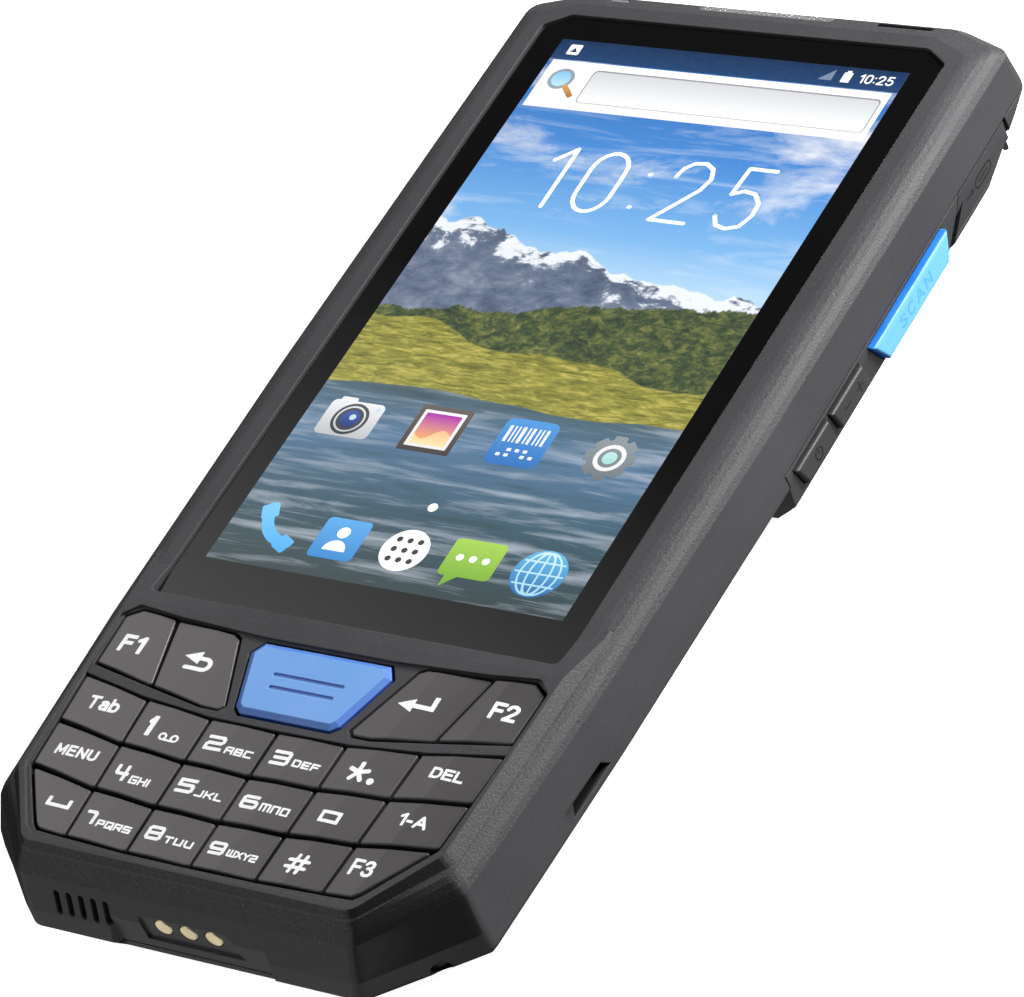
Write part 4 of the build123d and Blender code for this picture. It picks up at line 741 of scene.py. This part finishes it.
# the lit area, cut to its own rectangle
def plate(name, x0, y0, x1, y1, level, mat):
    me = bpy.data.meshes.new("screen_" + name)
    zt, zb = T + 0.012 * level, T - 0.006
    v = [(x / 1000, (y + Y0) / 1000, z / 1000) for z in (zt, zb) for x, y in ((x0, y0), (x1, y0), (x1, y1), (x0, y1))]
    me.from_pydata(v, [], [(0, 1, 2, 3), (7, 6, 5, 4), (1, 0, 4, 5), (2, 1, 5, 6), (3, 2, 6, 7), (0, 3, 7, 4)])
    me.materials.append(mat)
    o = bpy.data.objects.new("screen_" + name, me)
    bpy.context.scene.collection.objects.link(o)
    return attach(o, "housing")


plate("picture", -27.9, -49.6, 27.9, 49.6, 1, picture())
plate("status_bar", -27.9, 45.7, 27.9, 49.6, 2, lit("ui_status", (0.012, 0.055, 0.16), (0.006, 0.030, 0.095), 45.7, 49.6))
plate("search_card", -27.2, 36.2, 27.2, 45.5, 2, lit("ui_card", (0.86, 0.88, 0.90), (0.98, 0.98, 0.99), 36.2, 45.5, 0.88))

ui("search_edge", lambda X, Y: rbox(X, Y, 3.5, 40.95, 45.9, 6.5, 0.8), (-20, 37, 27, 45), 3, lit("ui_edge", (0.40, 0.42, 0.44), (0.30, 0.31, 0.33), 37.7, 44.2), 0.2)
ui("search_field", lambda X, Y: rbox(X, Y, 3.5, 40.85, 45.5, 6.1, 0.65), (-20, 37, 27, 45), 4, lit("ui_field", (0.90, 0.91, 0.92), (0.64, 0.65, 0.67), 38.2, 44.0), 0.2)
ui("lens_rim", lambda X, Y: ring(X, Y, -23.9, 41.9, 1.75, 0.55), (-27, 38, -20, 45), 3, lit("ui_rim", (0.20, 0.24, 0.28), (0.42, 0.47, 0.52)))
ui("lens_glass", lambda X, Y: disc(X, Y, -23.9, 41.9, 1.5), (-27, 38, -20, 45), 3, lit("ui_lens", (0.52, 0.80, 0.93), (0.22, 0.55, 0.82), 40.2, 43.5))
ui("lens_handle", lambda X, Y: rod(X, Y, (-22.5, 40.5), (-20.9, 38.9), 0.85), (-24, 38, -20, 42), 4, lit("ui_handle", (0.42, 0.15, 0.03), (0.72, 0.36, 0.10), 38.6, 40.6))

# status marks: picture, signal, battery and a plain clock
ui("mark_note", lambda X, Y: np.maximum(rbox(X, Y, -24.9, 47.7, 2.0, 2.0, 0.25), -pgon(X, Y, [(-25.5, 47.2), (-24.9, 47.2), (-24.3, 47.2), (-24.9, 48.1)])), (-26.2, 46.4, -23.6, 49), 3, WHITE, 0.08)
ui("mark_signal", lambda X, Y: pgon(X, Y, [(14.9, 46.8), (17.0, 46.8), (17.0, 48.9)]), (14.5, 46.4, 17.5, 49.3), 3, lit("ui_signal", (0.16, 0.22, 0.32), (0.22, 0.29, 0.40)), 0.08)
ui("mark_battery", lambda X, Y: union(rbox(X, Y, 19.1, 47.6, 1.35, 1.9, 0.15), rbox(X, Y, 19.1, 48.7, 0.65, 0.4, 0.08)), (18, 46.3, 20.2, 49.2), 3, WHITE, 0.07)
ui("mark_time", text_field("10:25", SANS, (21.0, 46.8, 26.4, 48.55), 0.27, 0.34, False), (20.7, 46.5, 26.8, 48.9), 3, WHITE, 0.06)

# the large clock
ui("clock", text_field("10:25", SANS, (-17.2, 17.6, 18.6, 29.4), 0.64, 0.42, False), (-18, 17, 19.2, 30), 3, lit("ui_clock", (0.88, 0.94, 1.0), (1.0, 1.0, 1.0), 17.6, 29.4, 0.95), 0.14)

# first row of pictograms
ICON = {
    "grey": lit("ui_grey", (0.50, 0.52, 0.54), (0.83, 0.84, 0.85), -26.4, -20.4),
    "dark": lit("ui_dark", (0.030, 0.036, 0.045), (0.085, 0.095, 0.11), -27, -20),
    "deep": lit("ui_deep", (0.015, 0.035, 0.16), (0.05, 0.12, 0.42), -25, -21.5),
    "spark": lit("ui_spark", (0.38, 0.60, 0.98), (0.72, 0.84, 1.0)),
    "frame": lit("ui_frame", (0.060, 0.050, 0.045), (0.14, 0.12, 0.11), -27, -19),
    "mat": lit("ui_mat", (0.80, 0.80, 0.80), (0.95, 0.95, 0.95), -27, -19),
    "dusk": lit("ui_dusk", (0.95, 0.48, 0.10), (0.42, 0.03, 0.42), -25.5, -20.4),
    "dune": lit("ui_dune", (0.98, 0.80, 0.42), (0.92, 0.42, 0.20), -26, -22),
    "blue": lit("ui_blue", (0.030, 0.17, 0.50), (0.09, 0.33, 0.75), -27, -19),
    "gear": lit("ui_gear", (0.16, 0.19, 0.21), (0.30, 0.34, 0.36), -27, -19),
    "mint": lit("ui_mint", (0.30, 0.64, 0.62), (0.62, 0.88, 0.84), -25.5, -20.5),
    "sky": lit("ui_sky", (0.07, 0.42, 0.86), (0.18, 0.58, 0.95), -46.5, -39.8),
    "card": lit("ui_book", (0.03, 0.24, 0.62), (0.10, 0.40, 0.80), -46.5, -39.8),
    "green": lit("ui_green", (0.18, 0.42, 0.03), (0.40, 0.66, 0.09), -46.5, -39.3),
    "sea": lit("ui_sea", (0.020, 0.14, 0.40), (0.12, 0.50, 0.82), -46.5, -39.5),
    "land": lit("ui_land", (0.38, 0.68, 0.84), (0.60, 0.85, 0.95), -46.5, -39.5),
}
cx, cy = -20.6, -23.4
ui("camera_body", lambda X, Y: union(rbox(X, Y, cx, cy, 8.6, 6.2, 0.9), rbox(X, Y, cx - 1.9, cy + 3.2, 2.6, 1.0, 0.3)), (cx - 5, cy - 4, cx + 5, cy + 4.4), 3, ICON["grey"])
ui("camera_ring", lambda X, Y: disc(X, Y, cx, cy, 2.75), (cx - 3, cy - 3, cx + 3, cy + 3), 4, ICON["dark"])
ui("camera_rim", lambda X, Y: ring(X, Y, cx, cy, 2.15, 0.28), (cx - 3, cy - 3, cx + 3, cy + 3), 5, ICON["grey"], 0.08)
ui("camera_glass", lambda X, Y: disc(X, Y, cx, cy, 1.45), (cx - 2, cy - 2, cx + 2, cy + 2), 5, ICON["deep"])
ui("camera_spark", lambda X, Y: union(disc(X, Y, cx + 0.3, cy + 0.35, 0.5), disc(X, Y, cx + 3.4, cy + 2.2, 0.3)), (cx - 2, cy - 2, cx + 4.2, cy + 3), 6, ICON["spark"], 0.08)

fx, fy = -7.0, -23.0
ui("frame_outer", lambda X, Y: rbox(X, Y, fx, fy, 8.2, 8.0, 0.25), (fx - 5, fy - 5, fx + 5, fy + 5), 3, ICON["frame"], 0.16)
ui("frame_mat", lambda X, Y: rbox(X, Y, fx, fy, 6.6, 6.4, 0.1), (fx - 4, fy - 4, fx + 4, fy + 4), 4, ICON["mat"], 0.16)
ui("frame_view", lambda X, Y: rbox(X, Y, fx, fy, 5.6, 5.4, 0.05), (fx - 4, fy - 4, fx + 4, fy + 4), 5, ICON["dusk"], 0.16)
ui("frame_dune", lambda X, Y: np.maximum(rbox(X, Y, fx, fy, 5.6, 5.4, 0.05), Y - (fy - 0.9 + 0.9 * np.sin((X - fx) * 1.1))), (fx - 4, fy - 4, fx + 4, fy + 4), 6, ICON["dune"])

bx, by = 6.6, -23.0
ui("code_tile", lambda X, Y: rbox(X, Y, bx, by, 8.2, 8.0, 1.2), (bx - 5, by - 5, bx + 5, by + 5), 3, ICON["blue"])


def bars(X, Y):
    ds = [seg(X, Y, (bx - 2.9 + d, by - 0.1), (bx - 2.9 + d, by + 2.7), w, 0.0) for d, w in ((0.0, 0.45), (0.75, 0.22), (1.35, 0.22), (2.1, 0.5), (2.95, 0.22), (3.6, 0.4), (4.45, 0.22), (5.05, 0.22), (5.75, 0.4))]
    ds += [rbox(X, Y, bx - 2.5 + 1.25 * i, by - 1.35 - 0.95 * j, 0.62, 0.5, 0.05) for i in range(5) for j in range(2) if (i * 3 + j * 2) % 4]
    return union(*ds)


ui("code_bars", bars, (bx - 4, by - 4, bx + 4, by + 4), 4, WHITE, 0.09)

gx, gy = 20.2, -23.2


def gear(X, Y):
    teeth = [seg(X, Y, (gx, gy), (gx + 3.75 * math.cos(a), gy + 3.75 * math.sin(a)), 1.9, 0.0, 0.25) for a in np.arange(8) * math.pi / 4]
    return union(disc(X, Y, gx, gy, 3.15), *teeth)


ui("gear_body", gear, (gx - 4.5, gy - 4.5, gx + 4.5, gy + 4.5), 3, ICON["gear"])
ui("gear_ring", lambda X, Y: ring(X, Y, gx, gy, 1.95, 0.62), (gx - 3, gy - 3, gx + 3, gy + 3), 4, ICON["mat"], 0.09)
ui("gear_eye", lambda X, Y: disc(X, Y, gx, gy, 1.05), (gx - 2, gy - 2, gx + 2, gy + 2), 4, ICON["mint"], 0.09)

ui("page_dot", lambda X, Y: disc(X, Y, 0.0, -35.6, 0.72), (-1.2, -37, 1.2, -34.5), 3, WHITE, 0.09)

# dock row
hx, hy = -20.6, -43.0
handle = arc_pts(hx + 3.1, hy + 3.2, 5.4, 180, 270, 12)
ui("handset", lambda X, Y: union(*[rod(X, Y, a, b, 1.75) for a, b in zip(handle, handle[1:])], seg(X, Y, (hx - 2.1, hy + 2.0), (hx - 2.6, hy + 3.1), 2.5, 0.5, 0.35), seg(X, Y, (hx + 2.1, hy - 2.1), (hx + 3.1, hy - 2.6), 2.5, 0.5, 0.35)), (hx - 5, hy - 5, hx + 5.6, hy + 5.4), 3, ICON["sky"])
px, py = -10.2, -43.1
ui("book", lambda X, Y: rbox(X, Y, px, py, 7.0, 6.8, 0.7), (px - 4, py - 4, px + 4, py + 4), 3, ICON["card"])
ui("book_person", lambda X, Y: union(disc(X, Y, px, py + 1.1, 0.95), np.maximum(disc(X, Y, px, py - 2.0, 1.75), (py - 2.0) - Y)), (px - 3, py - 4, px + 3, py + 3), 4, WHITE, 0.08)
ui("menu_disc", lambda X, Y: disc(X, Y, 0.0, -43.1, 3.5), (-4, -47, 4, -39), 3, WHITE)
ui("menu_dots", lambda X, Y: union(*[disc(X, Y, 1.65 * i, -43.1 + 1.65 * j, 0.44) for i in (-1, 0, 1) for j in (-1, 0, 1)]), (-3, -46, 3, -40), 4, ICON["dark"], 0.08)
mx, my = 10.4, -42.7
ui("bubble", lambda X, Y: union(rbox(X, Y, mx, my, 7.9, 6.2, 0.8), pgon(X, Y, [(mx - 2.6, my - 5.0), (mx - 0.2, my - 2.6), (mx - 2.6, my - 2.6)])), (mx - 5, my - 5.6, mx + 5, my + 4), 3, ICON["green"])
ui("bubble_dots", lambda X, Y: union(*[disc(X, Y, mx + 2.0 * i, my, 0.55) for i in (-1, 0, 1)]), (mx - 3.2, my - 1, mx + 3.2, my + 1), 4, WHITE, 0.08)
ox, oy = 20.7, -43.2
ui("globe", lambda X, Y: disc(X, Y, ox, oy, 3.9), (ox - 4.4, oy - 4.4, ox + 4.4, oy + 4.4), 3, ICON["sea"])


def meridians(X, Y):
    r = np.hypot(X - ox, Y - oy)
    ds = [np.abs(np.hypot((X - ox) / k, Y - oy) - 3.6) * k - 0.13 for k in (0.42, 0.78)]
    ds += [np.abs(Y - oy - q) - 0.13 for q in (-1.9, 0.0, 1.9)] + [np.abs(X - ox) - 0.13]
    return np.maximum(union(*ds), r - 3.65)


ui("globe_lines", meridians, (ox - 4, oy - 4, ox + 4, oy + 4), 4, ICON["land"], 0.07)


# ------------------------------------------------------------------ marks on the side buttons and the port cover
def paint(name, base, rough=0.5):
    t = Tree(name)
    fine = t.noise(3000.0, 3.0)
    return t.set(Base_Color=t.mix(t.span(fine, 0.3, 0.7), scaled(base, 0.8), scaled(base, 1.15)), Roughness=t.span(fine, 0.3, 0.7, rough - 0.06, rough + 0.06), Normal=t.bump(fine, 0.000005))


MARK_BLUE = paint("trigger_relief", (0.10, 0.50, 0.95), 0.32)
MARK_GREY = paint("button_mark", (0.008, 0.008, 0.009), 0.5)
MARK_DARK = paint("cover_mark", (0.006, 0.006, 0.006), 0.6)
for side, axis, node in ((1, "+x", "side_trigger_right"), (-1, "-x", "side_trigger_left")):
    m = side * 19.4
    slab("relief_" + node, text_field("SCAN", SANS, (m - 4.6, -11.45, m + 4.6, -9.45), 0.34, 0.42, False), (m - 5.2, -11.8, m + 5.2, -9.1), 0.08, MARK_BLUE, node, on_node(node, axis, 0.015), 0.09)
slab("mark_volume", lambda X, Y: union(seg(X, Y, (2.5, -10.15), (3.9, -10.15), 0.26), seg(X, Y, (3.2, -10.85), (3.2, -9.45), 0.26), seg(X, Y, (-0.9, -10.15), (0.5, -10.15), 0.26)), (-1.5, -11.2, 4.5, -9.1), 0.06, MARK_GREY, "volume_button", on_node("volume_button", "+x", 0.03), 0.06)
power = arc_pts(-8.7, -10.2, 0.85, 130, 410, 20)
slab("mark_power", lambda X, Y: union(*[rod(X, Y, a, b, 0.24) for a, b in zip(power, power[1:])], seg(X, Y, (-8.7, -10.1), (-8.7, -9.2), 0.24)), (-10, -11.5, -7.4, -8.9), 0.06, MARK_GREY, "power_button", on_node("power_button", "+x", 0.03), 0.06)
slab("mark_port", lambda X, Y: union(np.abs(rbox(X, Y, 42.6, -10.1, 4.6, 1.7, 0.85)) - 0.14, seg(X, Y, (41.4, -10.1), (43.8, -10.1), 0.3), rod(X, Y, (37.6, -10.1), (39.1, -10.1), 0.3), pgon(X, Y, [(39.0, -10.65), (39.9, -10.1), (39.0, -9.55)])), (37.0, -11.4, 45.4, -8.9), 0.06, MARK_DARK, "port_cover", on_node("port_cover", "+x", 0.02), 0.05)

# ------------------------------------------------------------------ studio
def floor():
    me = bpy.data.meshes.new("floor")
    n, half = 16, 3.0
    pts = [(-half + 2 * half * i / n, -half + 2 * half * j / n, -0.00005) for i in range(n + 1) for j in range(n + 1)]
    me.from_pydata(pts, [], [(i * (n + 1) + j, (i + 1) * (n + 1) + j, (i + 1) * (n + 1) + j + 1, i * (n + 1) + j + 1) for i in range(n) for j in range(n)])
    t = Tree("floor_paper")
    fine = t.noise(60.0, 3.0)
    me.materials.append(t.set(Base_Color=t.mix(t.span(fine, 0.3, 0.7), (0.86, 0.86, 0.865), (0.90, 0.90, 0.90)), Roughness=0.85, Specular_IOR_Level=0.2, Emission_Color=(1.0, 1.0, 1.0, 1.0), Emission_Strength=0.92))
    o = bpy.data.objects.new("floor", me)
    bpy.context.scene.collection.objects.link(o)
    # the paper is seen but throws no light back up at the terminal: the studio cards alone light it
    o.visible_diffuse = o.visible_glossy = False
    return o


sheet_ = floor()
world = bpy.data.worlds.new("studio")
world.use_nodes = True


def studio(world, ambient, cards):
    """Studio surround: a dim room with large soft cards, each a direction, its half angles in degrees and its brightness."""
    nt = world.node_tree
    bg = next(n for n in nt.nodes if n.type == "BACKGROUND")
    way = nt.nodes.new("ShaderNodeTexCoord").outputs["Generated"]
    total = None

    def math_node(op, a, b):
        n = nt.nodes.new("ShaderNodeMath")
        n.operation = op
        for i, v in enumerate((a, b)):
            if isinstance(v, bpy.types.NodeSocket):
                nt.links.new(v, n.inputs[i])
            else:
                n.inputs[i].default_value = v
        return n.outputs[0]

    for d, inner, outer, power in cards:
        dot = nt.nodes.new("ShaderNodeVectorMath")
        dot.operation = "DOT_PRODUCT"
        nt.links.new(way, dot.inputs[0])
        dot.inputs[1].default_value = Vector(d).normalized()
        fall = nt.nodes.new("ShaderNodeMapRange")
        fall.interpolation_type = "SMOOTHSTEP"
        nt.links.new(dot.outputs["Value"], fall.inputs["Value"])
        fall.inputs["From Min"].default_value = math.cos(math.radians(outer))
        fall.inputs["From Max"].default_value = math.cos(math.radians(inner))
        fall.inputs["To Min"].default_value = 0.0
        fall.inputs["To Max"].default_value = power
        total = fall.outputs[0] if total is None else math_node("ADD", total, fall.outputs[0])
    nt.links.new(math_node("ADD", total, ambient), bg.inputs[1])
    bg.inputs[0].default_value = (0.985, 0.985, 1.0, 1.0)


studio(world, 0.048, (
    ((-0.67, 0.15, 0.75), 16.0, 24.5, 1.38),
    ((0.68, 0.48, 0.55), 6.0, 36.0, 2.4),
    ((0.62, 0.55, -0.50), 8.0, 46.0, 0.6),
    ((-0.55, -0.60, -0.50), 8.0, 34.0, 0.85),
    ((-0.50, -0.68, 0.50), 6.0, 30.0, 1.2),
    ((0.45, -0.60, -0.65), 8.0, 34.0, 0.8),
    ((-0.48, 0.74, -0.47), 6.0, 28.0, 1.4),
))
bpy.context.scene.world = world


def area(name, at, to, size, watts, colour=(1, 1, 1), size_y=None):
    l = bpy.data.lights.new(name, "AREA")
    l.shape = "RECTANGLE"
    l.size, l.size_y = size, size_y or size
    l.energy = watts
    l.color = colour
    o = bpy.data.objects.new(name, l)
    bpy.context.scene.collection.objects.link(o)
    o.location = at
    o.rotation_mode = "QUATERNION"
    o.rotation_quaternion = (Vector(at) - Vector(to)).to_track_quat("Z", "Y")
    return o


area("key_light", (0.21, 0.27, 0.20), (0.03, 0.05, 0.0), 0.16, 2.0)
